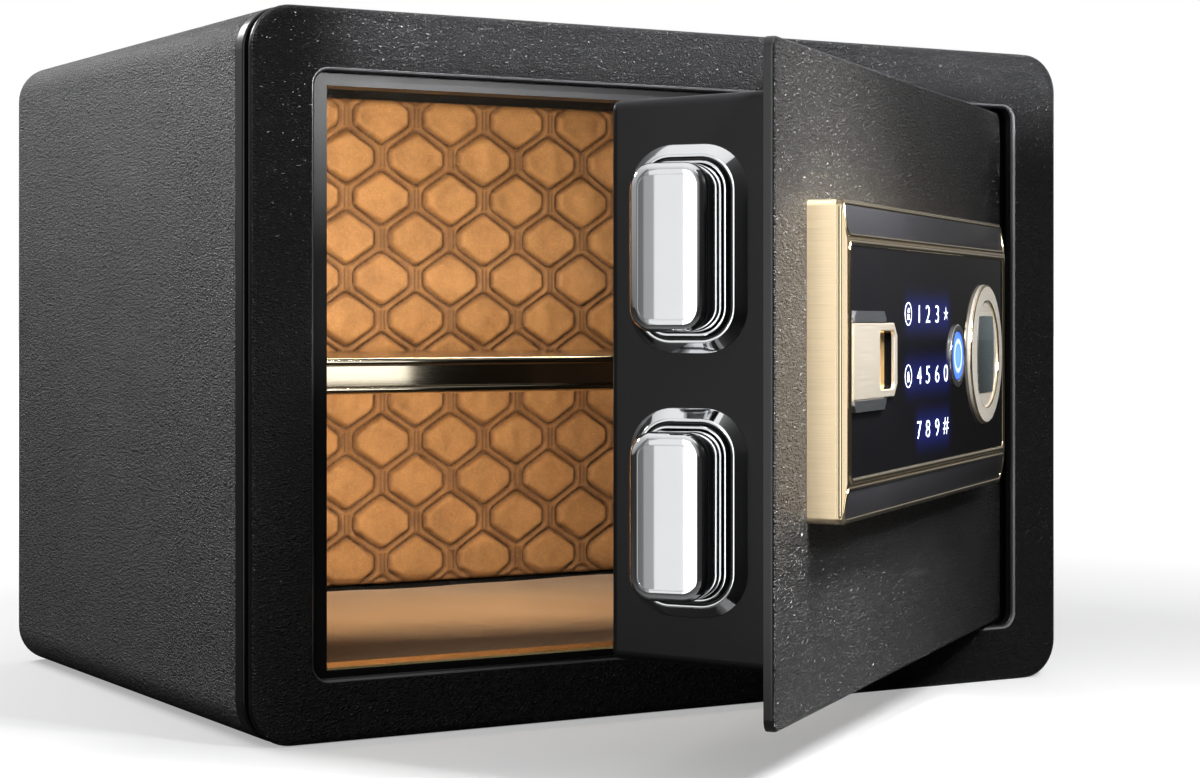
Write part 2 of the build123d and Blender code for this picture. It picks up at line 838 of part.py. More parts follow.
collar_grow = bolt_gap + collar_wall
channel_grow = collar_grow + channel_width
rim_grow = channel_grow + rim_width
base_grow = rim_grow + bevel_width
guide_face = case_left + case_sheet
for name, height in zip(("upper", "lower"), bolt_heights):
    # A bevelled frame round the bolt, with a sunk channel inside its rim and a thin collar next to the bolt.
    with BuildPart() as bolt_escutcheon:
        with BuildSketch(sideways(case_left, bolt_centre_depth, height, door_open)):
            RectangleRounded(bolt_width + 2 * base_grow, bolt_height + 2 * base_grow, bolt_corner)
        with BuildSketch(sideways(case_left - rim_height, bolt_centre_depth, height, door_open)):
            RectangleRounded(bolt_width + 2 * rim_grow, bolt_height + 2 * rim_grow, bolt_corner)
        loft()
        with BuildSketch(sideways(case_left - rim_height, bolt_centre_depth, height, door_open)):
            RectangleRounded(bolt_width + 2 * channel_grow, bolt_height + 2 * channel_grow, bolt_corner)
        extrude(amount=channel_depth, mode=Mode.SUBTRACT)
        with BuildSketch(sideways(case_left, bolt_centre_depth, height, door_open)):
            RectangleRounded(bolt_width + 2 * collar_grow, bolt_height + 2 * collar_grow, bolt_corner + collar_grow)
        extrude(amount=-collar_height)
        with BuildSketch(sideways(case_left, bolt_centre_depth, height, door_open)):
            RectangleRounded(bolt_width + 2 * bolt_gap, bolt_height + 2 * bolt_gap, bolt_corner + bolt_gap)
        extrude(amount=-max(rim_height, collar_height), mode=Mode.SUBTRACT)
    bolt_escutcheon.part.label = f"bolt_escutcheon_{name}"
    export_step(bolt_escutcheon.part, f"parts/bolt_escutcheon_{name}.step")

    with BuildPart() as bolt_guide:
        with BuildSketch(sideways(guide_face, bolt_centre_depth, height, door_open)):
            RectangleRounded(bolt_width + 2 * guide_margin, bolt_height + 2 * guide_margin, case_corner)
            RectangleRounded(
                bolt_width + 2 * bolt_gap, bolt_height + 2 * bolt_gap, bolt_corner + bolt_gap, mode=Mode.SUBTRACT
            )
        extrude(amount=guide_thickness)
    bolt_guide.part.label = f"bolt_guide_{name}"
    export_step(bolt_guide.part, f"parts/bolt_guide_{name}.step")

    with BuildPart() as bolt:
        with BuildSketch(sideways(bolt_tip, bolt_centre_depth, height, door_open)):
            RectangleRounded(bolt_width, bolt_height, bolt_corner)
        extrude(amount=bolt_length)
        fillet(bolt.faces().sort_by(rightward)[0].outer_wire().edges(), radius=bolt_round)
    bolt.part.label = f"bolt_{name}"
    export_step(bolt.part, f"parts/bolt_{name}.step")

# ---------------------------------------------------------------- bolt carriage and its drive

bar_left = bolt_root
bar_half_height = bolt_spacing / 2 + bar_overlap
bar_half_depth = bolt_width / 2 - bar_margin
tooth_half = pi * gear_module / 4 - backlash / 4
flank_slope = tan(radians(pressure_angle))
tip_half = tooth_half - rack_addendum * flank_slope
root_half = tooth_half + dedendum * flank_slope
rack_end = bar_right + rack_lead + (rack_tooth_count - 1) * pi * gear_module
first_tooth_x = pinion_x - (ceil((pinion_x - bar_right - rack_lead) / (pi * gear_module)) - 0.5) * pi * gear_module

# A bar joins the two bolts; the toothed arm on it is what the pinion drives.
with BuildPart() as bolt_carriage:
    with BuildSketch(sideways(bar_left, bolt_centre_depth, mid, door_open)):
        RectangleRounded(2 * bar_half_depth, 2 * bar_half_height, bar_margin)
    extrude(amount=bar_thickness)
    with BuildSketch(facing(rack_depth, swing=door_open)):
        with BuildLine():
            Polyline(
                (bar_right, rack_arm_foot),
                (rack_end, rack_arm_foot),
                (rack_end, rack_root_z),
                (bar_right, rack_root_z),
                close=True,
            )
        make_face()
        for tooth in range(rack_tooth_count):
            tooth_x = first_tooth_x + tooth * pi * gear_module
            with BuildLine():
                Polyline(
                    (tooth_x - root_half, rack_root_z),
                    (tooth_x - tip_half, rack_pitch_z + rack_addendum),
                    (tooth_x + tip_half, rack_pitch_z + rack_addendum),
                    (tooth_x + root_half, rack_root_z),
                    close=True,
                )
            make_face()
    extrude(amount=-rack_thickness)
bolt_carriage.part.label = "bolt_carriage"
export_step(bolt_carriage.part, "parts/bolt_carriage.step")

base_radius = pinion_radius * cos(radians(pressure_angle))
pinion_root = pinion_radius - dedendum
pinion_tip = pinion_radius + pinion_addendum
inv_pressure = tan(radians(pressure_angle)) - radians(pressure_angle)
tooth_angle = tooth_half / pinion_radius + inv_pressure


def flank_point(radius, side):
    """A point on the involute flank of the tooth that points straight down."""
    roll = acos(base_radius / radius)
    spread = tooth_angle - (tan(roll) - roll)
    return side * radius * sin(spread), -radius * cos(spread)


flank_radii = [base_radius + (pinion_tip - base_radius) * step / 4 for step in range(5)]
with BuildPart() as drive_pinion:
    with BuildSketch(facing(rack_depth + pinion_side_gap, pinion_x, pinion_z, door_open)):
        Circle(pinion_root)
        with BuildSketch(Plane.XY, mode=Mode.PRIVATE) as tooth_outline:
            with BuildLine():
                left_foot = (-pinion_root * sin(tooth_angle), -pinion_root * cos(tooth_angle))
                right_foot = (-left_foot[0], left_foot[1])
                Polyline((0, 0), left_foot, flank_point(base_radius, -1))
                Spline([flank_point(radius, -1) for radius in flank_radii])
                Line(flank_point(pinion_tip, -1), flank_point(pinion_tip, 1))
                Spline([flank_point(radius, 1) for radius in reversed(flank_radii)])
                Polyline(flank_point(base_radius, 1), right_foot, (0, 0))
            make_face()
        with PolarLocations(0, pinion_teeth):
            add(tooth_outline.sketch)
    extrude(amount=-(rack_thickness - 2 * pinion_side_gap))
    with BuildSketch(facing(bracket_face - gearbox_length + soft_gap, pinion_x, pinion_z, door_open)):
        Circle(motor_shaft_radius)
    extrude(amount=-(gearbox_length + bracket_sheet + 2 * slide_gap))
drive_pinion.part.label = "drive_pinion"
export_step(drive_pinion.part, "parts/drive_pinion.step")

# A small motor with its gearbox, standing between the plate and the bracket.
with BuildPart() as gear_motor:
    with BuildSketch(facing(bracket_face - gearbox_length - motor_length, pinion_x, pinion_z, door_open)):
        Circle(motor_radius)
        Rectangle(2 * motor_radius, motor_flat, mode=Mode.INTERSECT)
    extrude(amount=-motor_length)
    with BuildSketch(facing(bracket_face - gearbox_length, pinion_x, pinion_z, door_open)):
        Circle(motor_radius)
    extrude(amount=-gearbox_length)
    with BuildSketch(facing(bracket_face, pinion_x, pinion_z, door_open)):
        Circle(motor_shaft_radius + running_gap)
    extrude(amount=gearbox_length, mode=Mode.SUBTRACT)
gear_motor.part.label = "gear_motor"
export_step(gear_motor.part, "parts/gear_motor.step")

# The bracket stands on four legs; a folded channel on its back face holds the rack arm up to the pinion.
guide_left = pinion_x - rack_guide_length / 2
guide_top = rack_arm_foot - slide_gap
with BuildPart() as motor_bracket:
    with BuildSketch(facing(bracket_face, pinion_x, mid, door_open)):
        RectangleRounded(bracket_plate_width, bracket_plate_height, bracket_post_radius)
        with Locations((0, pinion_rise)):
            Circle(motor_shaft_radius + soft_gap, mode=Mode.SUBTRACT)
    extrude(amount=-bracket_sheet)
    with BuildSketch(facing(plate_back, pinion_x, mid, door_open)):
        leg_spread_x = bracket_plate_width - 2 * bracket_post_inset
        leg_spread_z = bracket_plate_height - 2 * bracket_post_inset
        with GridLocations(leg_spread_x, leg_spread_z, 2, 2):
            Circle(bracket_post_radius)
    extrude(amount=-(bracket_face - plate_back))
    with BuildSketch(sideways(guide_left, swing=door_open)):
        with BuildLine():
            lip_near = rack_back + slide_gap
            lip_far = lip_near + rack_guide_wall
            lip_up = rack_arm_foot + rack_arm_height / 2
            Polyline(
                (bracket_back, guide_top),
                (lip_near, guide_top),
                (lip_near, lip_up),
                (lip_far, lip_up),
                (lip_far, guide_top - rack_guide_wall),
                (bracket_back, guide_top - rack_guide_wall),
                close=True,
            )
        make_face()
    extrude(amount=rack_guide_length)
motor_bracket.part.label = "motor_bracket"
export_step(motor_bracket.part, "parts/motor_bracket.step")

# ---------------------------------------------------------------- lock housing

glass_x = glass_left + glass_width / 2
well_x = (well_left + well_right) / 2
inset_width = panel_width - 2 * panel_rim
inset_height = panel_band - 2 * inset_margin
band_turn = atan2(panel_rise - panel_edge_rise, panel_band)
band_depth = plate_front - (panel_rise + panel_edge_rise) / 2
band_z = panel_height / 2 - panel_band / 2
board_front = glass_back + board_drop


def band_plane(side):
    """The sloping face of the housing above (1) or below (-1) the glass."""
    origin = (*turned(panel_x, band_depth, door_open), panel_z + side * band_z)
    tilted = outward.direction * cos(band_turn) + Vector(0, 0, side * sin(band_turn))
    return Plane(origin=origin, x_dir=rightward.direction, z_dir=tilted)


# A bar with sloping top and bottom bands, sunk for the black panels, the key well and the keypad board.
with BuildPart() as lock_housing:
    with BuildSketch(sideways(panel_left, plate_front, panel_z, door_open)):
        with BuildLine():
            half_height = panel_height / 2
            half_glass = half_height - panel_band
            Polyline(
                (0, half_height),
                (-panel_edge_rise, half_height),
                (-panel_rise, half_glass),
                (-panel_rise, -half_glass),
                (-panel_edge_rise, -half_height),
                (0, -half_height),
                close=True,
            )
        make_face()
    extrude(amount=panel_width)
    fillet(lock_housing.edges().filter_by(Axis(outward.position, outward.direction)), radius=panel_corner)
    with BuildSketch(facing(panel_face, glass_x, panel_z, door_open)):
        RectangleRounded(glass_width, glass_height, glass_corner)
    extrude(amount=-(glass_back - panel_face), mode=Mode.SUBTRACT)
    with BuildSketch(facing(glass_back, well_x, panel_z, door_open)):
        RectangleRounded(well_width, well_height, glass_corner)
    extrude(amount=-well_depth, mode=Mode.SUBTRACT)
    with BuildSketch(facing(well_floor, key_x, panel_z, door_open)):
        Circle(cylinder_radius + running_gap)
    extrude(amount=-(plate_front - well_floor), mode=Mode.SUBTRACT)
    with BuildSketch(facing(glass_back, board_x, panel_z, door_open)):
        RectangleRounded(board_width + 2 * soft_gap, board_height + 2 * soft_gap, glass_corner)
    extrude(amount=-(board_drop + board_sheet), mode=Mode.SUBTRACT)
    with BuildSketch(facing(board_front, wake_x, panel_z, door_open)):
        RectangleRounded(*cable_window, cable_window_corner)
    extrude(amount=-(plate_front - board_front), mode=Mode.SUBTRACT)
    for side in (1, -1):
        with BuildSketch(band_plane(side)):
            Rectangle(inset_width, inset_height)
        extrude(amount=-inset_thickness, mode=Mode.SUBTRACT)
lock_housing.part.label = "lock_housing"
export_step(lock_housing.part, "parts/lock_housing.step")

# A thin dark strip lies in each sloping band.
for side, name in ((1, "top"), (-1, "bottom")):
    with BuildPart() as panel_inset:
        with BuildSketch(band_plane(side)):
            Rectangle(inset_width - 2 * inset_fit, inset_height - 2 * inset_fit)
        extrude(amount=-inset_thickness)
    panel_inset.part.label = f"panel_inset_{name}"
    export_step(panel_inset.part, f"parts/panel_inset_{name}.step")

# The glass lies level with the rims; it is open over the key well and round the wake button.
with BuildPart() as keypad_glass:
    with BuildSketch(facing(glass_face, glass_x, panel_z, door_open)):
        RectangleRounded(glass_width - 2 * inset_fit, glass_height - 2 * inset_fit, glass_corner - inset_fit)
        with Locations((well_x - glass_x, 0)):
            RectangleRounded(well_width, well_height, glass_corner, mode=Mode.SUBTRACT)
        with Locations((wake_x - glass_x, 0)):
            Circle(wake_button_radius + button_gap, mode=Mode.SUBTRACT)
    extrude(amount=-glass_thickness)
keypad_glass.part.label = "keypad_glass"
export_step(keypad_glass.part, "parts/keypad_glass.step")

with BuildPart() as keypad_board:
    with BuildSketch(facing(board_front, board_x, panel_z, door_open)):
        RectangleRounded(board_width, board_height, glass_corner)
    extrude(amount=-board_sheet)
keypad_board.part.label = "keypad_board"
export_step(keypad_board.part, "parts/keypad_board.step")

# ---------------------------------------------------------------- key cover and its guides

cover_right = glass_left + cover_from_edge + cover_width
cover_left = cover_right - cover_width
cover_half = cover_height / 2
slot_x = cover_right - finger_slot_from_end - finger_slot_width / 2
with BuildPart() as key_cover:
    with BuildSketch(facing(cover_back, z=panel_z, swing=door_open)):
        with BuildLine():
            Polyline(
                (cover_left, -cover_half),
                (cover_left, cover_half),
                (cover_right - cover_chamfer, cover_half),
                (cover_right, cover_half - cover_chamfer),
                (cover_right, -cover_half + cover_chamfer),
                (cover_right - cover_chamfer, -cover_half),
                close=True,
            )
        make_face()
        with Locations((slot_x, 0)):
            RectangleRounded(finger_slot_width, finger_slot_height, panel_corner, mode=Mode.SUBTRACT)
    extrude(amount=cover_thickness)
    chamfer(key_cover.faces().sort_by(outward)[-1].edges(), length=cover_bevel)
    with BuildSketch(facing(cover_back, z=panel_z, swing=door_open)):
        with Locations((cover_left + cover_guide_length / 2, 0)):
            Rectangle(cover_guide_length, 2 * (cover_half + cover_tongue))
            Rectangle(cover_guide_length, 2 * (cover_half - cover_tongue), mode=Mode.SUBTRACT)
    extrude(amount=cover_tongue_thickness)
key_cover.part.label = "key_cover"
export_step(key_cover.part, "parts/key_cover.step")

guide_lip_depth = cover_back - cover_tongue_thickness - slide_gap
for side, name in ((1, "top"), (-1, "bottom")):
    # The guide's lip reaches over the cover's tongue; its ends are cut back at a slant.
    with BuildPart() as cover_guide:
        with BuildSketch(sideways(cover_left + cover_bevel, z=panel_z, swing=door_open)):
            with BuildLine():
                lip_edge = side * (cover_half + slide_gap)
                wall_edge = side * (cover_half + cover_tongue + slide_gap)
                outer_edge = side * (cover_half + slide_gap + cover_guide_height)
                Polyline(
                    (glass_face, wall_edge),
                    (glass_face, outer_edge),
                    (guide_lip_depth - cover_guide_lip, outer_edge),
                    (guide_lip_depth - cover_guide_lip, lip_edge),
                    (guide_lip_depth, lip_edge),
                    (guide_lip_depth, wall_edge),
                    close=True,
                )
            make_face()
        extrude(amount=cover_guide_length)
        outer_corners = cover_guide.edges().filter_by(outward).group_by(Axis.Z)[-1 if side > 0 else 0]
        chamfer(outer_corners, length=cover_guide_slant)
    cover_guide.part.label = f"cover_guide_{name}"
    export_step(cover_guide.part, f"parts/cover_guide_{name}.step")

# ---------------------------------------------------------------- fingerprint reader and wake button

with BuildPart() as fingerprint_bezel:
    with BuildSketch(facing(glass_face, sensor_x, panel_z, door_open)):
        Circle(sensor_ring_radius)
    extrude(amount=sensor_ring_height)
    fillet(fingerprint_bezel.edges().sort_by(outward)[-1], radius=sensor_ring_height / 2)
    with BuildSketch(facing(glass_face - sensor_ring_height, sensor_x, panel_z, door_open)):
        Circle(sensor_dish_radius)
    extrude(amount=-sensor_recess, taper=30, mode=Mode.SUBTRACT)
fingerprint_bezel.part.label = "fingerprint_bezel"
export_step(fingerprint_bezel.part, "parts/fingerprint_bezel.step")

# The sensor window is flat above and below and bulges at its sides.
with BuildPart() as fingerprint_sensor:
    with BuildSketch(facing(glass_face - sensor_ring_height + sensor_recess, sensor_x, panel_z, door_open)):
        with BuildLine():
            half_width, half_height = sensor_width / 2, sensor_height / 2
            Line((-half_width + sensor_bulge, half_height), (half_width - sensor_bulge, half_height))
            ThreePointArc(
                (half_width - sensor_bulge, half_height), (half_width, 0), (half_width - sensor_bulge, -half_height)
            )
            Line((half_width - sensor_bulge, -half_height), (-half_width + sensor_bulge, -half_height))
            ThreePointArc(
                (-half_width + sensor_bulge, -half_height), (-half_width, 0), (-half_width + sensor_bulge, half_height)
            )
        make_face()
    extrude(amount=sensor_base)
fingerprint_sensor.part.label = "fingerprint_sensor"
export_step(fingerprint_sensor.part, "parts/fingerprint_sensor.step")

with BuildPart() as wake_ring:
    with BuildSketch(facing(glass_face, wake_x, panel_z, door_open)):
        Circle(wake_ring_radius)
        Circle(wake_button_radius + button_gap, mode=Mode.SUBTRACT)
    extrude(amount=wake_ring_height)
    chamfer(wake_ring.faces().sort_by(outward)[-1].edges(), length=wake_ring_height / 3)
wake_ring.part.label = "wake_ring"
export_step(wake_ring.part, "parts/wake_ring.step")

# The button is kept in by a flange behind the glass.
flange_front = glass_back + wake_flange_gap
with BuildPart() as wake_button:
    with BuildSketch(facing(glass_face - wake_ring_height + wake_flange_gap, wake_x, panel_z, door_open)):
        Circle(wake_button_radius)
    extrude(amount=-(glass_thickness + wake_ring_height))
    chamfer(wake_button.edges().filter_by(GeomType.CIRCLE).sort_by(outward)[-1], length=wake_ring_height / 4)
    with BuildSketch(facing(flange_front, wake_x, panel_z, door_open)):
        Circle(wake_ring_radius - 2 * wake_flange_gap)
    extrude(amount=-wake_travel)
wake_button.part.label = "wake_button"
export_step(wake_button.part, "parts/wake_button.step")

# ---------------------------------------------------------------- key lock

cylinder_front = well_floor - cylinder_proud
cylinder_end = cylinder_front + cylinder_length
cam_front = cylinder_end + cam_stand_off
plug_bore = plug_radius + running_gap
with BuildPart() as lock_cylinder:
    with BuildSketch(facing(cylinder_front, key_x, panel_z, door_open)):
        Circle(cylinder_radius)
    extrude(amount=-cylinder_length)
    chamfer(lock_cylinder.edges().sort_by(outward)[-1], length=cylinder_proud / 4)
    with BuildSketch(facing(cylinder_front, key_x, panel_z, door_open)):
        Circle(plug_bore)
    extrude(amount=-cylinder_length, mode=Mode.SUBTRACT)
lock_cylinder.part.label = "lock_cylinder"
export_step(lock_cylinder.part, "parts/lock_cylinder.step")

with BuildPart() as lock_nut:
    with BuildSketch(facing(plate_back, key_x, panel_z, door_open)):
        RegularPolygon(nut_radius, 6)
        Circle(cylinder_radius + running_gap, mode=Mode.SUBTRACT)
    extrude(amount=-nut_thickness)
lock_nut.part.label = "lock_nut"
export_step(lock_nut.part, "parts/lock_nut.step")

# The plug turns in the cylinder; its square tail turns the cam.
with BuildPart() as key_plug:
    with BuildSketch(facing(cylinder_front, key_x, panel_z, door_open)):
        Circle(plug_radius)
    extrude(amount=-cylinder_length)
    with BuildSketch(facing(cylinder_front, key_x, panel_z, door_open)):
        Rectangle(keyway_width, keyway_height)
    extrude(amount=-keyway_depth, mode=Mode.SUBTRACT)
    with BuildSketch(facing(cylinder_end, key_x, panel_z, door_open)):
        Rectangle(tail_side, tail_side)
    extrude(amount=-(cam_stand_off + cam_thickness))
key_plug.part.label = "key_plug"
export_step(key_plug.part, "parts/key_plug.step")

with BuildPart() as key_cam:
    with BuildSketch(facing(cam_front, key_x, panel_z, door_open)):
        Circle(cam_width / 2 + tail_side / 4)
        with Locations((0, cam_length / 2)):
            Rectangle(cam_width, cam_length)
        with Locations((0, cam_length)):
            Circle(cam_width / 2)
        Rectangle(tail_side + 2 * running_gap, tail_side + 2 * running_gap, mode=Mode.SUBTRACT)
    extrude(amount=-cam_thickness)
key_cam.part.label = "key_cam"
export_step(key_cam.part, "parts/key_cam.step")

# ---------------------------------------------------------------- control board

control_x = case_right - control_from_hinge_side
control_z = case_top - control_from_top
control_front = plate_back + stand_off_height
with BuildPart() as control_board:
    with BuildSketch(facing(control_front, control_x, control_z, door_open)):
        RectangleRounded(control_board_width, control_board_height, panel_corner)
    extrude(amount=-board_sheet)
    with BuildSketch(facing(plate_back, control_x, control_z, door_open)):
        leg_spread_x = control_board_width - 4 * stand_off_radius
        leg_spread_z = control_board_height - 4 * stand_off_radius
        with GridLocations(leg_spread_x, leg_spread_z, 2, 2):
            Circle(stand_off_radius)
    extrude(amount=-stand_off_height)
    with BuildSketch(facing(control_front + board_sheet, control_x, control_z, door_open)):
        with GridLocations(control_board_width / 4, 0, 3, 1):
            Rectangle(control_board_width / 6, control_board_height / 3)
    extrude(amount=-stand_off_height)
control_board.part.label = "control_board"
export_step(control_board.part, "parts/control_board.step")

# ---------------------------------------------------------------- batteries

# The open side of the box meets the window in the case back; the cells stand upright, turned end for end.
box_floor = case_floor - 2 * (cell_radius + cell_gap)
with BuildPart() as battery_box:
    with BuildSketch(facing(box_floor - box_wall, battery_x, mid, door_open)):
        RectangleRounded(bay_width + 2 * box_wall, bay_height + 2 * box_end, box_wall)
    extrude(amount=-(case_floor - box_floor + box_wall))
    with BuildSketch(facing(box_floor, battery_x, mid, door_open)):
        Rectangle(bay_width, bay_height)
    extrude(amount=-(case_floor - box_floor), mode=Mode.SUBTRACT)
battery_box.part.label = "battery_box"
export_step(battery_box.part, "parts/battery_box.step")

for cell in range(cell_count):
    cell_x = battery_x + (cell - (cell_count - 1) / 2) * cell_pitch
    cell_depth = box_floor + cell_gap + cell_radius
    up = 1 if cell % 2 == 0 else -1
    foot_z = mid - up * (cell_length + cell_nub_length) / 2
    with BuildPart() as battery:
        with BuildSketch(level(foot_z, cell_x, cell_depth, door_open)):
            Circle(cell_radius)
        extrude(amount=up * cell_length)
        chamfer(battery.edges().filter_by(GeomType.CIRCLE), length=cell_gap)
        with BuildSketch(level(foot_z, cell_x, cell_depth, door_open)):
            Circle(cell_nub_radius)
        extrude(amount=up * (cell_length + cell_nub_length))
    battery.part.label = f"battery_{cell + 1}"
    export_step(battery.part, f"parts/battery_{cell + 1}.step")

with BuildPart() as battery_cover:
    with BuildSketch(facing(cover_back_depth, battery_x, mid, door_open)):
        RectangleRounded(battery_cover_width, battery_cover_height, box_wall)
    extrude(amount=-battery_cover_sheet)
    with BuildSketch(facing(cover_back_depth + battery_cover_sheet, battery_x, mid, door_open)):
        with GridLocations(2 * grip_width, 0, 5, 1):
            Rectangle(grip_width, cell_length / 2)
    extrude(amount=-grip_width / 2)
battery_cover.part.label = "battery_cover"
export_step(battery_cover.part, "parts/battery_cover.step")

# ---------------------------------------------------------------- reset switch

with BuildPart() as reset_switch:
    with BuildSketch(facing(case_floor - reset_body_depth, reset_x, reset_z, door_open)):
        Rectangle(reset_body, reset_body)
    extrude(amount=-reset_body_depth)
    with BuildSketch(facing(case_floor, reset_x, reset_z, door_open)):
        Circle(reset_radius + button_gap)
    extrude(amount=reset_body_depth - box_wall, mode=Mode.SUBTRACT)
reset_switch.part.label = "reset_switch"
export_step(reset_switch.part, "parts/reset_switch.step")

with BuildPart() as reset_button:
    with BuildSketch(facing(case_back + reset_travel, reset_x, reset_z, door_open)):
        Circle(reset_radius)
    extrude(amount=case_sheet + reset_travel + reset_travel)
    chamfer(reset_button.edges().filter_by(GeomType.CIRCLE).sort_by(outward)[0], length=reset_travel / 3)
reset_button.part.label = "reset_button"
export_step(reset_button.part, "parts/reset_button.step")
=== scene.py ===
import json
import math
import bmesh
import bpy
import numpy as np
from mathutils import Matrix, Vector


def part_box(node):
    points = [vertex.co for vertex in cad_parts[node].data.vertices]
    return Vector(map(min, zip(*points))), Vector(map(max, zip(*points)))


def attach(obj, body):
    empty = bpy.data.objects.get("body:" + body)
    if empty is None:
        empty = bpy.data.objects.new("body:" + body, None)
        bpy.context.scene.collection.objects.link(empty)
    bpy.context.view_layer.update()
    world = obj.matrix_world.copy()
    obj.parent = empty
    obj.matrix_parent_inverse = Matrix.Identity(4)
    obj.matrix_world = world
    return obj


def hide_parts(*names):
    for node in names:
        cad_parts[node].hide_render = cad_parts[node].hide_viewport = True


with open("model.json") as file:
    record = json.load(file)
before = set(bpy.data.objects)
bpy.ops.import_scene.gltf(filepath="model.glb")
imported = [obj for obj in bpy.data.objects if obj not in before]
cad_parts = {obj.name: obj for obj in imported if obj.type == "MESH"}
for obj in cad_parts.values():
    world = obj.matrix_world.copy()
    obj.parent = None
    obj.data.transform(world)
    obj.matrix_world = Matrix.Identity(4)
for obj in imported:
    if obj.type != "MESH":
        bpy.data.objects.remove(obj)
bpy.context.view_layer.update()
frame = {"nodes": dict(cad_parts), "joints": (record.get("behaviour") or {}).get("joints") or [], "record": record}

scene = bpy.context.scene
nodes = frame["nodes"]
materials = bpy.data.materials
millimetre = 0.001

# the door is drawn shut and then swung about its hinge
doorHinge = next(joint for joint in frame["joints"] if joint["name"] == "door_hinge")
hingeAt = Vector(doorHinge["pos_m"])
doorSwing = math.radians(-doorHinge["range_deg"][0])
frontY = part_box("front_frame")[0].y
swingOpen = Matrix.Translation(hingeAt) @ Matrix.Rotation(doorSwing, 4, "Z") @ Matrix.Translation(-hingeAt)
swingShut = swingOpen.inverted()


def readPoints(mesh, what="co"):
    values = np.empty(len(mesh.vertices) * 3)
    mesh.vertices.foreach_get(what, values)
    return values.reshape(-1, 3)


def closedBox(name):
    # lowest and highest corner of a door node with the door swung shut
    points = readPoints(nodes[name].data) @ np.array(swingShut.to_3x3()).T + np.array(swingShut.translation)
    return Vector(points.min(0)), Vector(points.max(0))


def midHalf(low, high):
    # middle and half size of a box
    return (low + high) / 2, (high - low) / 2


print("frame loaded")


class Wire:
    # a value inside a node tree: sums of wires become math nodes
    def __init__(self, tree, socket):
        self.tree, self.socket = tree, socket

    def __add__(self, other):
        return doMath("ADD", self, other)

    def __sub__(self, other):
        return doMath("SUBTRACT", self, other)

    def __rsub__(self, other):
        return doMath("SUBTRACT", other, self)

    def __mul__(self, other):
        return doMath("MULTIPLY", self, other)

    def __truediv__(self, other):
        return doMath("DIVIDE", self, other)

    def __rtruediv__(self, other):
        return doMath("DIVIDE", other, self)

    def __abs__(self):
        return doMath("ABSOLUTE", self)


def join(value, socket):
    if isinstance(value, Wire):
        value.tree.links.new(value.socket, socket)
    else:
        socket.default_value = value


def addNode(kind, inputs=(), out=0, tree=None, **settings):
    # gives back the output called out as a wire, or a list of wires for a tuple
    inputs = dict(inputs)
    tree = tree or next(value.tree for value in inputs.values() if isinstance(value, Wire))
    node = tree.nodes.new(kind)
    for name, value in settings.items():
        setattr(node, name, value)
    for name, value in inputs.items():
        join(value, node.inputs[name])
    if isinstance(out, tuple):
        return [Wire(tree, node.outputs[name]) for name in out]
    return Wire(tree, node.outputs[out])


def doMath(operation, *values, clamp=False):
    return addNode("ShaderNodeMath", enumerate(values), operation=operation, use_clamp=clamp)


def vectorMath(operation, *values, out=0, **named):
    return addNode("ShaderNodeVectorMath", {**dict(enumerate(values)), **named}, out, operation=operation)


def separate(vector):
    return addNode("ShaderNodeSeparateXYZ", {0: vector}, ("X", "Y", "Z"))


def noise(vector, scale, detail, roughness=0.5, out="Fac"):
    inputs = {"Vector": vector, "Scale": scale, "Detail": detail, "Roughness": roughness}
    return addNode("ShaderNodeTexNoise", inputs, out)


def blendRange(value, low, high, start=0.0, end=1.0):
    inputs = {"Value": value, "From Min": low, "From Max": high, "To Min": start, "To Max": end}
    return addNode("ShaderNodeMapRange", inputs, "Result")


def mixColour(share, first, second):
    first, second = (value if isinstance(value, Wire) else (*value, 1.0) for value in (first, second))
    return addNode("ShaderNodeMix", {0: share, 6: first, 7: second}, 2, data_type="RGBA")


namedSockets = {"Vector": "NodeSocketVector", "Geometry": "NodeSocketGeometry", "Material": "NodeSocketMaterial"}
typedSockets = {float: "NodeSocketFloat", int: "NodeSocketInt", tuple: "NodeSocketVector"}


def newTree(name, kind="ShaderNodeTree", **inputs):
    # a node group and its named inputs as wires
    tree = bpy.data.node_groups.new(name, kind)
    for label, value in inputs.items():
        socketKind = namedSockets.get(label) or typedSockets[type(value)]
        socket = tree.interface.new_socket(label.replace("_", " "), in_out="INPUT", socket_type=socketKind)
        if value is not None:
            socket.default_value = value
    given = tree.nodes.new("NodeGroupInput").outputs
    return tree, [Wire(tree, given[place]) for place in range(len(inputs))]


def endTree(tree, kind="NodeSocketFloat", **results):
    for label in results:
        tree.interface.new_socket(label, in_out="OUTPUT", socket_type=kind)
    last = tree.nodes.new("NodeGroupOutput")
    for label, value in results.items():
        join(value, last.inputs[label])


def useGroup(group, **inputs):
    # gives back the group's outputs in their order
    labelled = {label.replace("_", " "): value for label, value in inputs.items()}
    outputs = tuple(item.name for item in group.interface.items_tree if item.in_out == "OUTPUT")
    return addNode("ShaderNodeGroup", labelled, outputs, node_tree=group)


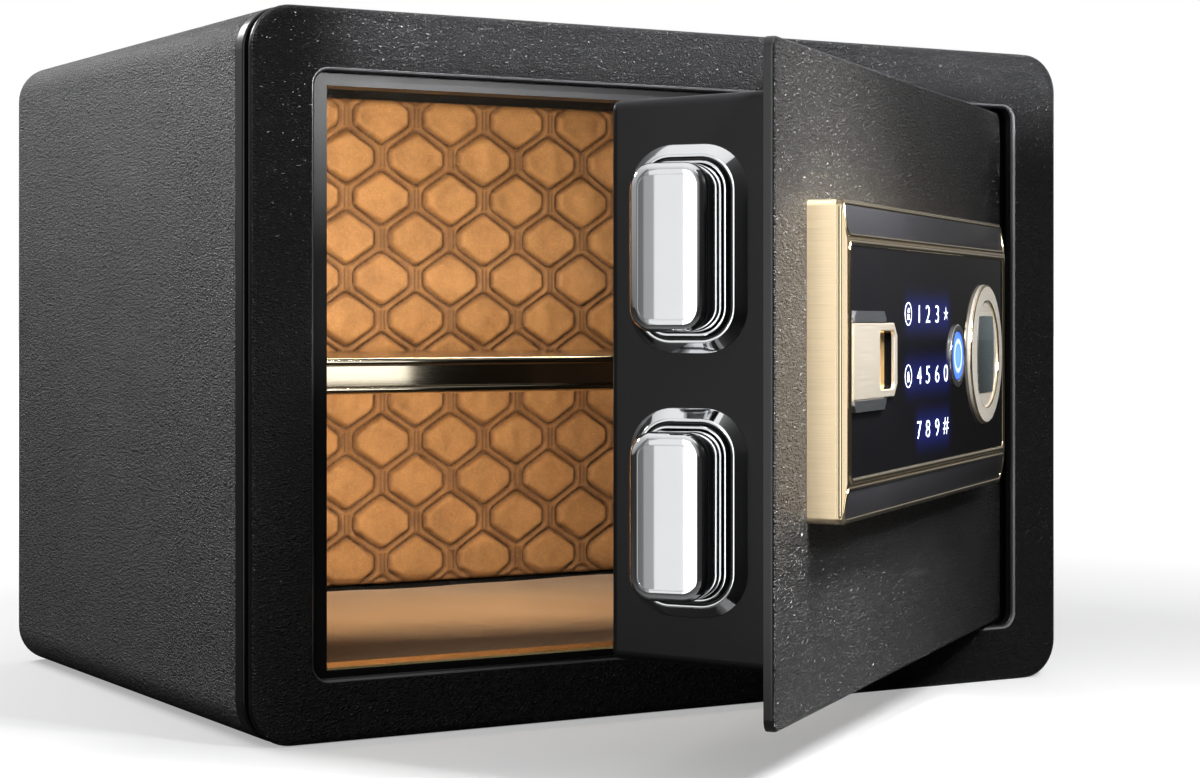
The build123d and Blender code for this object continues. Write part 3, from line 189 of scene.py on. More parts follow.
# wrinkled grain of a thick powder coat or of leather: Size is one pebble, Stretch makes it long and flat
leatherGrain, (vector, size, waviness, stretch) = newTree(
    "leatherGrain", Vector=None, Size=0.0011, Waviness=0.5, Stretch=(0.5, 0.5, 1.0)
)
stretched = vectorMath("MULTIPLY", vector, stretch)
coarse = noise(stretched, 1.0 / size * 0.6, 2.0, out="Color")
pushed = vectorMath("SCALE", vectorMath("SUBTRACT", coarse, (0.5, 0.5, 0.5)), Scale=size * waviness)
moved = vectorMath("ADD", stretched, pushed)
cells = {"Vector": moved, "Scale": 1.0 / size}
pebbles = addNode("ShaderNodeTexVoronoi", cells, "Distance", feature="DISTANCE_TO_EDGE")
creases = blendRange(pebbles, 0.0, 0.28)
wrinkles = noise(moved, 1.0 / size * 0.9, 3.0, 0.6)
ridges = blendRange(abs(wrinkles * 2.0 - 1.0), 0.0, 0.24)
endTree(leatherGrain, Height=creases * 0.45 + ridges * 0.55, Crease=1.0 - creases * ridges)

# long fine scratches that run along local X
brushedLines, (vector, width, stretch) = newTree("brushedLines", Vector=None, Line_Width=0.00025, Stretch=90.0)
x, y, z = separate(vector)
squeezed = addNode("ShaderNodeCombineXYZ", {"X": x / stretch, "Y": y, "Z": z})
endTree(brushedLines, Lines=noise(squeezed, 1.0 / width, 4.0, 0.7))

# slow uneven patches: handling marks, dull spots and dust
handledPatches, (vector, size, contrast) = newTree("handledPatches", Vector=None, Patch_Size=0.04, Contrast=1.0)
slow = noise(vector, 1.0 / size, 4.0, 0.6)
patchy = doMath("ADD", (slow - 0.5) * contrast, 0.5, clamp=True)
endTree(handledPatches, Patches=patchy, Specks=noise(vector, 1.0 / size * 60.0, 2.0))

# a soft-edged box of light: how far a point is inside it, from 0 to 1
softBox, (vector, centre, halfSize, softness) = newTree(
    "softBox", Vector=None, Centre=(0.0, 0.0, 0.0), Half_Size=(0.0, 0.0, 0.0), Softness=0.003
)
outside = vectorMath("SUBTRACT", vectorMath("ABSOLUTE", vectorMath("SUBTRACT", vector, centre)), halfSize)
fade = vectorMath("LENGTH", vectorMath("MAXIMUM", outside, (0, 0, 0)), out="Value") / softness
endTree(softBox, Mask=doMath("POWER", 2.718, fade * fade * -1.0))

# plain weave: two sets of threads that pass over and under each other
plainWeave, (vector, thread) = newTree("plainWeave", Vector=None, Thread=0.0009)
x, y, z = separate(vectorMath("SCALE", vector, Scale=math.pi / thread))
warp, weft = doMath("SINE", x), doMath("SINE", y)
crossing = warp * weft
endTree(plainWeave, Height=crossing * 0.35 + (abs(warp) + abs(weft)) * 0.3, Over=crossing * 0.5 + 0.5)


def ownPlace(tree, shut=False):
    # the piece's own coordinates, with the door swung shut if asked
    turn, move = ((0, 0, -doorSwing), tuple(swingShut.translation)) if shut else ((0, 0, 0), (0, 0, 0))
    local = addNode("ShaderNodeTexCoord", out="Object", tree=tree)
    return addNode("ShaderNodeMapping", {"Vector": local, "Rotation": turn, "Location": move})


def paint(material, height=None, depth=0.0, **inputs):
    shader = material.node_tree.nodes["Principled BSDF"]
    if height is not None:
        bump = {"Height": height, "Distance": depth, "Strength": 1.0}
        inputs["Normal"] = addNode("ShaderNodeBump", bump, "Normal")
    for label, value in inputs.items():
        join(value, shader.inputs[label.replace("_", " ")])


def newMaterial(name, shut=False, **values):
    material = materials.new(name)
    material.use_nodes = True
    paint(material, **values)
    return material, ownPlace(material.node_tree, shut)


def patchesOn(vector, size, contrast=1.0):
    return useGroup(handledPatches, Vector=vector, Patch_Size=size, Contrast=contrast)


powderCoat = {
    "base": (0.004, 0.004, 0.0045),
    "light": (0.0085, 0.0085, 0.0092),
    "roughness": (0.27, 0.40),
    # the smooth band's colour, the coat's darkest: on the frame and cabinet it is partly painted shade for the gap
    # between them
    "rim": (0.004, 0.004, 0.0045),
    "rimRoughness": 0.3,
    "frameShadowBand": (0.0011, 0.0016),  # how far behind the front the frame's grain fades out into a smooth darkest band, partly painted shade for the gap to the cabinet
    "wrapShadowBand": (0.0145, 0.0152),  # and where the cabinet's grain begins, after the same band of painted shade
    "plateRim": (0.0003, 0.0006),  # and how far behind its back the door plate's ends
}
# painted highlight: a lighter, glossier line round the opening's edge where light catches its bevel; inside it the
# jamb is smooth darkest black
openingEdgeHighlight = {
    "halfAcross": 0.152,
    "halfUp": 0.103,
    "middleUp": (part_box("front_frame")[0].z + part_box("front_frame")[1].z) / 2,
    "corner": 0.005,
    "lineFrom": 0.00055,
    "lineTo": 0.00125,
    "fade": 0.00015,
    "grainFade": 0.0004,
    "colour": (0.10, 0.10, 0.105),
    "roughness": 0.22,
}


def nearFront(vector, start, end):
    # 1 at the front face, falling to 0 between these depths behind it
    return blendRange(separate(vector)[1], frontY + start, frontY + end, 1.0, 0.0)


def openingDistance(vector):
    x, y, z = separate(vector)
    corner = openingEdgeHighlight["corner"]
    across = doMath("MAXIMUM", abs(x) - (openingEdgeHighlight["halfAcross"] - corner), 0.0)
    up = doMath("MAXIMUM", abs(z - openingEdgeHighlight["middleUp"]) - (openingEdgeHighlight["halfUp"] - corner), 0.0)
    return doMath("SQRT", across * across + up * up) - corner


def makePowderCoat(
    name, pebble, depth, shine=0.5, stretch=(0.5, 0.5, 1.0), shut=False, rimTo=None, rimFrom=None, opening=False
):
    # rimTo: smooth darkest black behind this depth; rimFrom: the same in front of it; on the frame and cabinet that
    # band is partly painted shade for the gap between them; opening: painted highlight line round the opening's
    # edge
    material, vector = newMaterial(name, shut, Specular_IOR_Level=shine)
    height, crease = useGroup(leatherGrain, Vector=vector, Size=pebble, Waviness=1.3, Stretch=stretch)
    patches = patchesOn(vector, 0.05, 1.4)[0]
    tint = mixColour(crease, powderCoat["light"], powderCoat["base"])
    sheen = blendRange(patches, 0.0, 1.0, *powderCoat["roughness"])
    if rimTo or rimFrom:
        grained = nearFront(vector, *rimTo) if rimTo else 1.0 - nearFront(vector, *rimFrom)
        tint = mixColour(grained, powderCoat["rim"], tint)
        sheen = grained * (sheen - powderCoat["rimRoughness"]) + powderCoat["rimRoughness"]
        height = height * grained
    if opening:
        away, lineFrom, lineTo = openingDistance(vector), openingEdgeHighlight["lineFrom"], openingEdgeHighlight["lineTo"]
        jamb = blendRange(away, lineFrom, lineFrom + openingEdgeHighlight["fade"], 1.0, 0.0)
        # painted highlight line along the opening's edge
        edge = doMath("SUBTRACT", blendRange(away, lineTo, lineTo + openingEdgeHighlight["fade"], 1.0, 0.0), jamb, clamp=True)
        tint = mixColour(edge, mixColour(jamb, tint, powderCoat["rim"]), openingEdgeHighlight["colour"])
        sheen = edge * (openingEdgeHighlight["roughness"] - sheen) + sheen
        height = height * blendRange(away, lineTo, lineTo + openingEdgeHighlight["grainFade"])
    paint(material, height, depth, Base_Color=tint, Roughness=sheen)


plateBack = closedBox("door_plate")[0].y - frontY
plateRim = [plateBack + behind for behind in powderCoat["plateRim"]]
makePowderCoat("cabinetCoat", 0.0010, 0.0008, rimFrom=powderCoat["wrapShadowBand"])
makePowderCoat("frameCoat", 0.00095, 0.0012, 0.3, rimTo=powderCoat["frameShadowBand"], opening=True)
makePowderCoat("doorCoat", 0.00125, 0.0034, 0.6, (0.28, 0.28, 1.0), True, rimTo=plateRim)


def makeSatinBlack(name, base, roughness, speckle, shine=0.5):
    material, vector = newMaterial(name, Specular_IOR_Level=shine)
    patches, specks = patchesOn(vector, 0.03, 1.2)
    tint = mixColour(patches, base, [value * 1.5 for value in base])
    paint(material, specks, speckle, Base_Color=tint, Roughness=blendRange(patches, 0.2, 0.8, *roughness))


makeSatinBlack("caseBlack", (0.008, 0.008, 0.009), (0.30, 0.42), 0.00003, 0.28)
makeSatinBlack("nylonBlack", (0.028, 0.028, 0.030), (0.5, 0.62), 0.00006)
makeSatinBlack("coverBlack", (0.020, 0.020, 0.021), (0.42, 0.55), 0.00008)
makeSatinBlack("insetBlack", (0.008, 0.008, 0.009), (0.28, 0.34), 0.0000005, 0.3)
makeSatinBlack("stopBlack", (0.004, 0.004, 0.0045), (0.38, 0.46), 0.00001, 0.2)
makeSatinBlack("channelBlack", (0.004, 0.004, 0.0045), (0.30, 0.42), 0.00001)


def makeBrushed(name, base, roughness, depth=0.00004, shut=False, metal=1.0, turn=0.0, polishedFrom=None):
    material, vector = newMaterial(name, shut, Metallic=metal, Anisotropic=0.3)
    turned = addNode("ShaderNodeMapping", {"Vector": vector, "Rotation": (0, 0, turn)})
    height = lines = useGroup(brushedLines, Vector=turned)[0]
    tint = mixColour(blendRange(lines, 0.35, 0.65), [value * 0.84 for value in base], base)
    sheen = blendRange(lines, 0.3, 0.7, *roughness)
    if polishedFrom is not None:
        # nearer to the viewer than this depth the metal is polished bright
        polished = blendRange(separate(vector)[1], polishedFrom, polishedFrom + 0.0004, 1.0, 0.0)
        rubbed = blendRange(patchesOn(vector, 0.03, 1.2)[0], 0.0, 1.0, 0.12, 0.2)
        sheen = rubbed * polished + sheen * (1.0 - polished)
        tint = mixColour(polished, tint, base)
        height = lines * (1.0 - polished)
    paint(material, height, depth, Base_Color=tint, Roughness=sheen)


glassLow, glassHigh = closedBox("keypad_glass")
glassFront = glassLow.y
polishedFrom = glassFront + 0.0032
makeBrushed("housingGold", (0.93, 0.745, 0.49), (0.34, 0.44), 0.000012, True, 1.0, math.pi / 2, polishedFrom)
makeBrushed("coverGold", (0.70, 0.63, 0.52), (0.30, 0.42), 0.00001, True, 0.9)
makeBrushed("polishedGold", (0.90, 0.75, 0.50), (0.09, 0.16), 0.000004, True)
makeBrushed("bezelGold", (0.95, 0.88, 0.77), (0.30, 0.42), 0.000003, True, 0.6)
makeBrushed("shelfGold", (0.86, 0.76, 0.58), (0.10, 0.15), 0.000002)
makeBrushed("sillGold", (0.88, 0.66, 0.30), (0.10, 0.18), 0.00001)
makeBrushed("guideSteel", (0.30, 0.31, 0.33), (0.30, 0.34), 0.0000005, True)
makeBrushed("ringSteel", (0.80, 0.80, 0.80), (0.20, 0.24), 0.0000005, True)
makeBrushed("zincSteel", (0.62, 0.63, 0.65), (0.25, 0.42))
makeBrushed("turnedBrass", (0.76, 0.58, 0.28), (0.22, 0.36))


def makePatchy(name, tint, roughness, size, shut=False, **values):
    # tint is two colours mixed in patches, or a function that makes the colour from the place
    material, vector = newMaterial(name, shut, **values)
    patches = patchesOn(vector, size)[0]
    base = tint(vector) if callable(tint) else mixColour(patches, *tint)
    paint(material, Base_Color=base, Roughness=blendRange(patches, 0.0, 1.0, *roughness))
    return material


# the touch keypad: its lit figures lie on the glass, and some of their light spills into it
keypad = {
    "columns": (-0.0305, -0.0187, -0.0058, 0.0067),
    "rows": (0.1456, 0.1252, 0.1070),
    "figures": ("123*", "4560", "789#"),
    "height": 0.0058,
    "wide": 1.6,
    "thinned": -0.008,
    "starReach": 0.0025,
    "starInner": 0.00066,
    "starWide": 1.5,
    "lockColumn": -0.0450,
    "lockRadius": 0.0038,
    "lockWide": 1.15,
    "lockLine": 0.00026,
    "lockBody": (0.0013, 0.0009, 0.0003),  # half width, half height and corner
    "lockDrop": 0.0010,
    "shackle": (0.0011, 0.0015),
    "shackleInside": (0.0007, 0.0012),
    "shackleOpen": 0.0004,
    "proud": 0.00004,
    "clear": 0.00001,
    "glow": (0.005, 0.009, 0.10),
    "glowReach": 0.0044,
}


def glowColour(vector):
    glow = []
    right = keypad["columns"][-1] + 0.001
    for row, height in enumerate(keypad["rows"]):
        left = keypad["lockColumn"] if row < 2 else keypad["columns"][0]
        glow += useGroup(
            softBox,
            Vector=vector,
            Centre=((left + right) / 2, glassFront, height),
            Half_Size=((right - left) / 2, 0.01, keypad["height"] / 4),
            Softness=keypad["glowReach"],
        )
    return mixColour(glow[0] + glow[1] + glow[2], (0, 0, 0), keypad["glow"])


glassTones = ((0.0012, 0.0012, 0.0016), (0.0025, 0.0025, 0.003))
glass = makePatchy("touchGlass", glassTones, (0.05, 0.11), 0.03, True, Specular_IOR_Level=0.10)
paint(glass, Emission_Strength=1.0, Emission_Color=glowColour(ownPlace(glass.node_tree, True)))
makePatchy("boltChrome", ((0.80, 0.81, 0.83), (0.86, 0.87, 0.88)), (0.03, 0.09), 0.02, Metallic=1.0)
makePatchy("resetRed", ((0.42, 0.02, 0.015), (0.6, 0.05, 0.03)), (0.35, 0.5), 0.004)


def sensorPaintedSheen(vector):
    # a painted reflection: a grey sheen that leans across the dark window
    centre = midHalf(*closedBox("fingerprint_sensor"))[0]
    x, y, z = separate(vector)
    lean = 0.55
    middle = centre.x + centre.z * lean
    share = blendRange(x + z * lean, middle - 0.014, middle + 0.016)
    return mixColour(share, (0.035, 0.042, 0.042), (0.12, 0.155, 0.16))


def boardTint(vector):
    place = {"Vector": vector, "Rotation": (math.pi / 2, 0, 0), "Scale": (160, 160, 160)}
    bricks = {"Vector": addNode("ShaderNodeMapping", place), "Scale": 1.0, "Mortar Size": 0.05}
    return mixColour(addNode("ShaderNodeTexBrick", bricks, "Fac"), (0.012, 0.09, 0.045), (0.04, 0.2, 0.1))


def sleeveTint(vector):
    # the lower part of a cell is black and its collar copper
    collarUp = 0.034
    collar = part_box("battery_1")[0].z + collarUp
    above = blendRange(separate(vector)[2], collar, collar + 0.0002)
    return mixColour(above, (0.02, 0.02, 0.022), (0.62, 0.36, 0.10))


makePatchy("sensorWindow", sensorPaintedSheen, (0.2, 0.34), 0.012, True, Coat_Weight=1.0, Coat_Roughness=0.03)
makePatchy("boardGreen", boardTint, (0.3, 0.5), 0.01, True)
makePatchy("cellSleeve", sleeveTint, (0.2, 0.32), 0.01)


def makeLitFigures():
    material, vector = newMaterial("litFigures", True, Emission_Strength=1.0, Roughness=0.4)
    lit = mixColour(patchesOn(vector, 0.004, 0.8)[0], (0.62, 0.74, 1.0), (0.86, 0.92, 1.0))
    paint(material, Emission_Color=lit, Base_Color=lit)


# the wake button glows blue; its brighter ring is a painted highlight, standing in for light on its domed lens
wakeLight = {
    "rim": (0.03, 0.12, 0.75),
    "middle": (0.13, 0.30, 0.92),
    "fade": (0.002, 0.0085),
    # painted highlight ring on the domed lens
    "ring": (0.55, 0.72, 1.0),
    "highlightRingAt": 0.0052,
    "highlightRingHalf": 0.0007,
}


def makeWakeLight():
    material, vector = newMaterial("wakeBlue", True, Emission_Strength=0.85, Roughness=0.18)
    centre = midHalf(*closedBox("wake_button"))[0]
    x, y, z = separate(vector)
    across, up = x - centre.x, z - centre.z
    away = doMath("SQRT", across * across + up * up)
    base = mixColour(blendRange(away, *wakeLight["fade"]), wakeLight["middle"], wakeLight["rim"])
    half = wakeLight["highlightRingHalf"]
    # painted highlight: a bright ring in the glow
    onHighlightRing = blendRange(abs(away - wakeLight["highlightRingAt"]), half * 0.6, half * 1.5, 1.0, 0.0)
    lit = mixColour(onHighlightRing, base, wakeLight["ring"])
    paint(material, Emission_Color=lit, Base_Color=mixColour(0.5, lit, (0.05, 0.08, 0.2)))


quiltTones = {
    "dark": (0.20, 0.082, 0.022),
    "light": (0.46, 0.225, 0.082),
    # lighter tone for the small mottled wear, and painted highlight on the pad crowns
    "wearAndHighlight": (0.66, 0.37, 0.15),
    # also painted shade in the quilt's grooves and seams
    "crease": (0.050, 0.017, 0.006),
}


def makeQuiltLeather():
    material, vector = newMaterial("quiltLeather")
    height, crease = useGroup(leatherGrain, Vector=vector, Size=0.0007, Waviness=1.0, Stretch=(1, 1, 1))
    patches, small = patchesOn(vector, 0.011, 2.4)[0], patchesOn(vector, 0.0022, 1.2)[0]
    tree = material.node_tree
    # painted shade: grooves, seams and the ground between pads darkened with the crease tone
    sewn = addNode("ShaderNodeAttribute", out="Fac", tree=tree, attribute_name="paintedSeamShade")
    # painted highlight: the crowns of the puffed pads are lightened
    top = addNode("ShaderNodeAttribute", out="Fac", tree=tree, attribute_name="padTopHighlight")
    hide = mixColour(patches, quiltTones["dark"], quiltTones["light"])
    layers = ((small * 0.5, "wearAndHighlight"), (top * 0.25, "wearAndHighlight"), (crease * 0.35, "crease"), (sewn * 0.8, "crease"))
    for share, tone in layers:
        hide = mixColour(share, hide, quiltTones[tone])
    paint(material, height, 0.00022, Base_Color=hide, Roughness=blendRange(patches, 0.0, 1.0, 0.42, 0.62))


def makeFloorFabric():
    material, vector = newMaterial("floorFabric", Sheen_Weight=0.25, Sheen_Roughness=0.4)
    height, over = useGroup(plainWeave, Vector=vector, Thread=0.0011)
    patches, specks = patchesOn(vector, 0.04, 1.4)
    cloth = mixColour(patches, (0.13, 0.062, 0.020), (0.20, 0.105, 0.038))
    cloth = mixColour(over * 0.45, cloth, (0.25, 0.14, 0.058))
    cloth = mixColour(specks * 0.3, cloth, (0.24, 0.13, 0.05))
    paint(material, height, 0.0003, Base_Color=cloth, Roughness=blendRange(patches, 0.0, 1.0, 0.7, 0.9))


makeLitFigures()
makeWakeLight()
makeQuiltLeather()
makeFloorFabric()

finishes = {
    "cabinetCoat": "body_wrap back_plate bolt_keeper shelf_rail_left shelf_rail_right hinge_guard"
    " hinge_bracket_upper hinge_bracket_lower",
    "frameCoat": "front_frame",
    "doorCoat": "door_plate hinge_lug_upper hinge_lug_lower",
    "caseBlack": "door_case",
    "stopBlack": "door_stop",
    "insetBlack": "panel_inset_top panel_inset_bottom",
    "nylonBlack": "bolt_guide_upper bolt_guide_lower battery_box",
    "coverBlack": "battery_cover reset_switch",
    "housingGold": "lock_housing",
    "coverGold": "key_cover",
    "bezelGold": "fingerprint_bezel",
    "shelfGold": "shelf",
    "sillGold": "sill_trim",
    "boltChrome": "bolt_upper bolt_lower bolt_escutcheon_upper bolt_escutcheon_lower",
    "ringSteel": "wake_ring",
    "guideSteel": "cover_guide_top cover_guide_bottom",
    "zincSteel": "case_screw_upper_latch case_screw_upper_hinge case_screw_lower_latch case_screw_lower_hinge"
    " hinge_pin_upper hinge_pin_lower bolt_carriage gear_motor motor_bracket lock_cylinder lock_nut key_cam",
    "turnedBrass": "drive_pinion key_plug",
    "touchGlass": "keypad_glass",
    "sensorWindow": "fingerprint_sensor",
    "wakeBlue": "wake_button",
    "boardGreen": "keypad_board control_board",
    "cellSleeve": "battery_1 battery_2 battery_3 battery_4",
    "resetRed": "reset_button",
}
for finish, names in finishes.items():
    for name in names.split():
        nodes[name].data.materials.clear()
        nodes[name].data.materials.append(materials[finish])
print("finishes on the metalwork")


def linkObject(name, data):
    thing = bpy.data.objects.new(name, data)
    scene.collection.objects.link(thing)
    return thing


def toMesh(name, shape):
    mesh = bpy.data.meshes.new(name)
    shape.to_mesh(mesh)
    shape.free()
    return mesh


def evaluatedMesh(thing, copy=True):
    graph = bpy.context.evaluated_depsgraph_get()
    shown = thing.evaluated_get(graph)
    return bpy.data.meshes.new_from_object(shown, depsgraph=graph) if copy else shown.data


def roundedOutline(halfWidth, halfHeight, corner, steps=8):
    # rounded outline round the origin, anticlockwise from the right, as (across, up)
    outline = []
    for turn, (signX, signZ) in enumerate(((1, 1), (-1, 1), (-1, -1), (1, -1))):
        for step in range(steps + 1):
            angle = math.radians(90 * (turn + step / steps))
            across = signX * (halfWidth - corner) + corner * math.cos(angle)
            outline.append((across, signZ * (halfHeight - corner) + corner * math.sin(angle)))
    return outline


def loft(rings, closed=False, capEnd=True):
    # skin over rings of equal length; closed joins the last ring to the first, else the ends are capped
    shape = bmesh.new()
    rows = [[shape.verts.new(point) for point in ring] for ring in rings]
    followers = rows[1:] + rows[:1] if closed else rows[1:]
    for near, far in zip(rows, followers):
        for place in range(len(near)):
            following = (place + 1) % len(near)
            shape.faces.new((near[place], near[following], far[following], far[place]))
    if not closed:
        shape.faces.new(rows[0])
    if not closed and capEnd:
        shape.faces.new(rows[-1])
    bmesh.ops.recalc_face_normals(shape, faces=shape.faces)
    return shape


def makePiece(name, shape, finish, body, stands=(), swung=False, sharp=38):
    # the piece's object stays at the origin and its place is in its mesh
    mesh = toMesh(name, shape) if isinstance(shape, bmesh.types.BMesh) else shape
    mesh.name = name
    if swung:
        mesh.transform(swingOpen)
    mesh.polygons.foreach_set("use_smooth", np.ones(len(mesh.polygons), dtype=bool))
    mesh.set_sharp_from_angle(angle=math.radians(sharp))
    mesh.materials.clear()
    mesh.materials.append(materials[finish])
    mesh.update()
    piece = linkObject(name, mesh)
    if stands:
        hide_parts(*stands)
    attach(piece, body)
    return piece


def endShape(tree, geometry, material):
    # every tree ends in real geometry with its material
    real = addNode("GeometryNodeRealizeInstances", {"Geometry": geometry})
    painted = addNode("GeometryNodeSetMaterial", {"Geometry": real, "Material": material})
    endTree(tree, "NodeSocketGeometry", Geometry=painted)
    tree.is_modifier = True


# beadTrim runs a round bead along every line of a wire mesh
beadTrim, (geometry, radius, sides, material) = newTree(
    "beadTrim", "GeometryNodeTree", Geometry=None, Bead_Radius=0.001, Sides=12, Material=None
)
wire = addNode("GeometryNodeMeshToCurve", {"Mesh": geometry})
section = addNode("GeometryNodeCurvePrimitiveCircle", {"Resolution": sides, "Radius": radius})
bead = addNode("GeometryNodeCurveToMesh", {"Curve": wire, "Profile Curve": section, "Fill Caps": True})
endShape(beadTrim, bead, material)

# spotMarks sets a shallow pressed mark at even steps along a wire mesh
spotMarks, (geometry, spacing, radius, height, seed, material) = newTree(
    "spotMarks",
    "GeometryNodeTree",
    Geometry=None,
    Spacing=0.04,
    Mark_Radius=0.003,
    Mark_Height=0.0003,
    Seed=4,
    Material=None,
)
wire = addNode("GeometryNodeMeshToCurve", {"Mesh": geometry})
steps = addNode("GeometryNodeResampleCurve", {"Curve": wire, "Length": spacing}, mode="LENGTH")
mark = addNode("GeometryNodeMeshUVSphere", {"Segments": 16, "Rings": 8, "Radius": 1.0}, "Mesh", spotMarks)
markSize = addNode("ShaderNodeCombineXYZ", {"X": radius, "Y": height, "Z": radius})
marks = addNode("GeometryNodeInstanceOnPoints", {"Points": steps, "Instance": mark, "Scale": markSize})
uneven = addNode("FunctionNodeRandomValue", {"Seed": seed, 2: 0.85, 3: 1.1}, 1, data_type="FLOAT")
resized = addNode("GeometryNodeScaleInstances", {"Instances": marks, "Scale": uneven})
endShape(spotMarks, resized, material)


def grow(name, tree, loops, **sizes):
    # runs a node tree over closed loops of points and gives back a plain mesh
    points, lines = [], []
    for loop in loops:
        start = len(points)
        points += loop
        lines += [(start + place, start + (place + 1) % len(loop)) for place in range(len(loop))]
    wireMesh = bpy.data.meshes.new(name)
    wireMesh.from_pydata(points, lines, [])
    carrier = linkObject(name, wireMesh)
    modifier = carrier.modifiers.new(name, "NODES")
    modifier.node_group = tree
    for item in tree.interface.items_tree:
        label = item.name.replace(" ", "_")
        if item.in_out == "INPUT" and label in sizes:
            modifier[item.identifier] = sizes[label]
    mesh = evaluatedMesh(carrier)
    bpy.data.objects.remove(carrier)
    return mesh


# bright beads round the lock housing, its glass and its two dark strips
trims = {
    "edge": 0.0009,
    "edgeSink": 0.0007,
    "edgeCorner": 0.0022,
    "glass": 0.0010,
    "glassInset": 0.0003,
    "glassSink": 0.0004,
    "glassCorner": 0.0028,
    "bandFall": 0.002,  # how much lower the sloping bands end
}
strips = {"ends": 0.0011, "outer": 0.0011, "inner": 0.0019, "corner": 0.0026, "proud": 0.00022, "bead": 0.00062}
housingLow, housingHigh = closedBox("lock_housing")
housingMid = (housingLow + housingHigh) / 2


def housingFace(across, up, sink=0.0):
    # a point on the housing's face: it slopes back beyond the glass
    bandShare = max(0.0, abs(up - housingMid.z) - (glassHigh.z - housingMid.z)) / (housingHigh.z - glassHigh.z)
    return Vector((across, housingLow.y + trims["bandFall"] * bandShare + sink, up))


def faceLoop(low, high, corner, inset=0.0, sink=0.0):
    middle, half = midHalf(low, high)
    outline = roundedOutline(half.x - inset, half.z - inset, corner)
    return [housingFace(middle.x + across, middle.z + up, sink) for across, up in outline]


def stripBox(side):
    # the dark strip above (1) or below (-1) the glass
    near = (glassHigh.z if side > 0 else glassLow.z) + side * strips["inner"]
    far = (housingHigh.z if side > 0 else housingLow.z) - side * strips["outer"]
    low = Vector((housingLow.x + strips["ends"], 0, min(near, far)))
    return low, Vector((housingHigh.x - strips["ends"], 0, max(near, far)))


def makeBead(name, loops, radius, finish):
    mesh = grow(name + "Wire", beadTrim, loops, Bead_Radius=radius, Material=materials[finish])
    makePiece(name, mesh, finish, "door", swung=True)


def makeHousingTrims():
    edge = faceLoop(housingLow, housingHigh, trims["edgeCorner"], trims["edgeSink"], trims["edgeSink"])
    glassEdge = faceLoop(glassLow, glassHigh, trims["glassCorner"], trims["glassInset"], trims["glassSink"])
    makeBead("housing_edge_bead", [edge], trims["edge"], "polishedGold")
    makeBead("housing_glass_bead", [glassEdge], trims["glass"], "polishedGold")
    stripEdges = [faceLoop(*stripBox(side), strips["corner"]) for side in (1, -1)]
    makeBead("housing_strip_bead", stripEdges, strips["bead"], "polishedGold")
    for side, end in ((1, "top"), (-1, "bottom")):
        box, corner, proud = stripBox(side), strips["corner"], strips["proud"]
        layers = [faceLoop(*box, corner, 0.0001, sink) for sink in (0.0006, -proud * 0.6)]
        layers.append(faceLoop(*box, corner - 0.0002, 0.0003, -proud))
        makePiece("dark_strip_" + end, loft(layers), "insetBlack", "door", ("panel_inset_" + end,), True)


makeHousingTrims()

# round beads on the fingerprint ring and the button's ring: (distance from the rim inwards, bead radius)
ringBeads = {
    "fingerprint_bezel": ("polishedGold", ((0.0006, 0.0006), (0.0057, 0.0005))),
    "wake_ring": ("ringSteel", ((0.0005, 0.0005),)),
}
for name, (finish, beads) in ringBeads.items():
    low, high = closedBox(name)
    middle, half = midHalf(low, high)
    for number, (inset, radius) in enumerate(beads, 1):
        outline = roundedOutline(*(half.x - inset,) * 3, 24)
        circle = [(middle.x + across, low.y + radius, middle.z + up) for across, up in outline]
        makeBead(f"{name}_bead_{number}", [circle], radius, finish)

# a locking bolt: rounded block with a barrel-shaped end and a fine turned line round its face
boltForm = {
    "corner": 0.0075,
    "edge": 0.0030,
    "barrel": 0.0013,
    "lineAt": 0.0006,
    "lineDeep": 0.00012,
    "lineWide": 0.00035,
    "cornerSteps": 12,
    "edgeSteps": 10,
    "columns": 24,
}


def fillBarrel(shape, count, tip, centreY, halfDepth):
    # closes the face in level rows between mirrored points of its outline, so that it shines evenly
    shape.verts.ensure_lookup_table()
    outline = shape.verts[-count:]
    steps, columns = boltForm["cornerSteps"], boltForm["columns"]
    pairs = [(steps - place, steps + 1 + place) for place in range(steps + 1)]
    pairs += [(4 * steps + 3 - place, 2 * steps + 2 + place) for place in range(steps + 1)]
    rows = []
    for right, left in pairs:
        start, end = outline[left], outline[right]
        row = [start]
        for column in range(1, columns):
            spot = start.co.lerp(end.co, column / columns)
            spot.x = tip + boltForm["barrel"] * ((spot.y - centreY) / halfDepth) ** 2
            row.append(shape.verts.new(spot))
        rows.append(row + [end])
    for upper, lower in zip(rows, rows[1:]):
        for column in range(columns):
            shape.faces.new((upper[column], upper[column + 1], lower[column + 1], lower[column]))
    bmesh.ops.recalc_face_normals(shape, faces=shape.faces)


